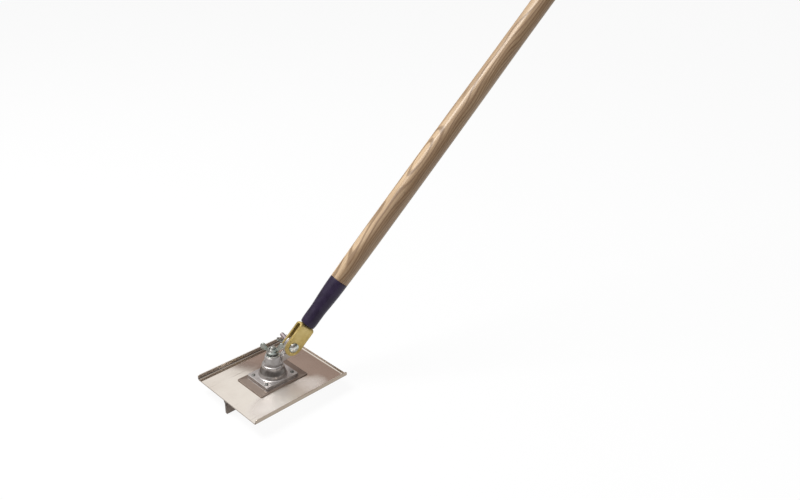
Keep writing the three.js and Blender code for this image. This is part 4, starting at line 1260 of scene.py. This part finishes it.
# the tent's wall, only seen in polished metal: direction in degrees, elevation of its top, and its tone
wallStations = [
    (-180, 34, (0.26, 0.22, 0.20)), (-150, 42, (0.14, 0.12, 0.11)), (-128, 44, (0.12, 0.10, 0.09)),
    (-90, 44, (0.14, 0.12, 0.11)), (-51, 47, (0.20, 0.17, 0.16)), (0, 45, (0.28, 0.23, 0.21)),
    (30, 41.7, (0.38, 0.30, 0.27)), (48, 36.5, (0.39, 0.31, 0.28)), (56, 34.5, (0.40, 0.31, 0.28)),
    (75, 28.2, (0.44, 0.36, 0.33)), (120, 22, (0.40, 0.35, 0.33)), (180, 34, (0.26, 0.22, 0.20)),
]


def linkStage(name, shape, paint):
    vertices, quads, _ = shape
    mesh = bpy.data.meshes.new(name)
    mesh.from_pydata(vertices.tolist(), [], quads.tolist())
    mesh.materials.append(paint.material)
    stand = bpy.data.objects.new(name, mesh)
    bpy.context.scene.collection.objects.link(stand)
    return stand


# Floor and surroundings are white to the camera and to polished metal; the floor keeps a share of its shadow.
def buildStudio():
    reach = np.array([[[-1, -1, 0], [1, -1, 0]], [[-1, 1, 0], [1, 1, 0]]], float) * studio["floor"]
    paint = Finish("floorPaint", Roughness=0.9, Specular_IOR_Level=0.0, Base_Color=(0.9, 0.9, 0.9, 1))
    glow = paint.node("ShaderNodeEmission", {}, {"Color": (1, 1, 1), "Strength": 1.0})
    seen = paint.node("ShaderNodeLightPath", output=0)
    mirrored = paint.node("ShaderNodeLightPath", output="Is Glossy Ray")
    share = (seen * (1 - studio["shadowShare"]) + mirrored * studio["mirroredShare"]).limited()
    mixed = paint.node("ShaderNodeMixShader", {}, {0: share, 1: Line(paint, paint.shader.outputs[0]), 2: glow})
    paint.feed(paint.tree.nodes["Material Output"].inputs["Surface"], mixed)
    floor = linkStage("studioFloor", gridShape(reach, around=False, lowCap=False, highCap=False), paint)
    floor.location.z = -studio["floorDrop"]

    world = bpy.data.worlds.new("studio")
    bpy.context.scene.world = world
    world.use_nodes = True
    tree = world.node_tree
    surround = tree.nodes["Background"]
    path = tree.nodes.new("ShaderNodeLightPath")
    direct = tree.nodes.new("ShaderNodeMath")
    direct.operation = "MAXIMUM"
    tree.links.new(path.outputs["Is Camera Ray"], direct.inputs[0])
    tree.links.new(path.outputs["Is Glossy Ray"], direct.inputs[1])
    strength = tree.nodes.new("ShaderNodeMapRange")
    strength.inputs["To Min"].default_value = studio["ambient"]
    strength.inputs["To Max"].default_value = 1.0
    tree.links.new(direct.outputs[0], strength.inputs["Value"])
    tree.links.new(strength.outputs[0], surround.inputs["Strength"])
    surround.inputs["Color"].default_value = (1, 1, 1, 1)


# The wall stands on a circle. Its top follows the stations' elevations, and its tone fades from one to the
# next; a narrow band just under the top is darker.
def buildWall():
    bearings, tops, tones = zip(*wallStations)
    direction = np.linspace(-180, 180, 241)
    top = np.interp(direction, bearings, tops)
    tone = np.stack([np.interp(direction, bearings, [colour[n] for colour in tones]) for n in range(3)], -1)
    drop = np.array([60, 4.0, 1.6, 0.75, 0.45, 0.0])
    darkening = np.array([0.8, 0.95, 1.12, 0.85, 0.6, 0.6])
    elevation = np.maximum(top[None, :] - drop[:, None], -0.5)
    radius = studio["wallRadius"]
    turn = np.radians(direction)[None, :]
    x, y = radius * np.cos(turn), radius * np.sin(turn)
    z = radius * np.tan(np.radians(elevation))
    points = np.stack([np.broadcast_to(x, z.shape), np.broadcast_to(y, z.shape), z], -1)
    paint = Finish("wallPaint")
    reading = paint.node("ShaderNodeAttribute", {"attribute_name": "tone"})
    glow = paint.node("ShaderNodeEmission", {}, {"Color": reading, "Strength": 1.0})
    paint.feed(paint.tree.nodes["Material Output"].inputs["Surface"], glow)
    wall = linkStage("tentWall", gridShape(points, around=False, lowCap=False, highCap=False), paint)
    colours = (tone[None] * darkening[:, None, None]).reshape(-1, 3)
    attribute = wall.data.attributes.new("tone", "FLOAT_COLOR", "POINT")
    attribute.data.foreach_set("color", np.column_stack([colours, np.ones(len(colours))]).ravel())
    wall.visible_camera = wall.visible_diffuse = wall.visible_shadow = wall.visible_transmission = False


# A round area lamp at a place, turned to face a target.
def softLamp(name, place, target, size, power):
    lamp = bpy.data.lights.new(name, "AREA")
    lamp.shape, lamp.size, lamp.energy = "DISK", size, power
    lampObject = bpy.data.objects.new(name, lamp)
    bpy.context.scene.collection.objects.link(lampObject)
    towards = (Vector(target) - Vector(place)).to_track_quat("-Z", "Y")
    lampObject.location, lampObject.rotation_euler = place, towards.to_euler()


buildStudio()
buildWall()
softLamp("keyLamp", studio["keyPlace"], studio["aim"], studio["keySize"], studio["key"])
softLamp("fillLamp", studio["fillPlace"], studio["aim"], studio["fillSize"], studio["fill"])

view = {
    "eye": (-0.6862, -0.8636, 0.8076), "azimuth": -43.16, "elevation": 22.75, "roll": 1.03, "focal": 746.0,
    "imageWidth": 800, "imageHeight": 500, "principal": (327.0, 211.0),
}


# The camera stands where the photograph was fitted to the sole's edges: back, right and up from its two
# angles, turned by the roll; the lens and shift come from the focal length and principal point in picture
# widths.
def buildCamera():
    azimuth, elevation, roll = (math.radians(view[key]) for key in ("azimuth", "elevation", "roll"))
    level = math.cos(elevation)
    back = Vector((math.sin(azimuth) * level, -math.cos(azimuth) * level, math.sin(elevation)))
    right = Vector((math.cos(azimuth), math.sin(azimuth), 0))
    up = back.cross(right)
    rolledRight = math.cos(roll) * right + math.sin(roll) * up
    rolledUp = math.cos(roll) * up - math.sin(roll) * right
    lens = bpy.data.cameras.new("view")
    lens.sensor_fit, lens.sensor_width = "HORIZONTAL", 36
    lens.lens = 36 * view["focal"] / view["imageWidth"]
    lens.shift_x = (view["imageWidth"] / 2 - view["principal"][0]) / view["imageWidth"]
    lens.shift_y = (view["principal"][1] - view["imageHeight"] / 2) / view["imageWidth"]
    camera = bpy.data.objects.new("view", lens)
    bpy.context.scene.collection.objects.link(camera)
    turn = Matrix((rolledRight, rolledUp, back)).transposed()
    camera.matrix_world = Matrix.Translation(view["eye"]) @ turn.to_4x4()
    bpy.context.scene.camera = camera


buildCamera()
bpy.context.scene.view_settings.view_transform = "Standard"
print("studio and camera set")
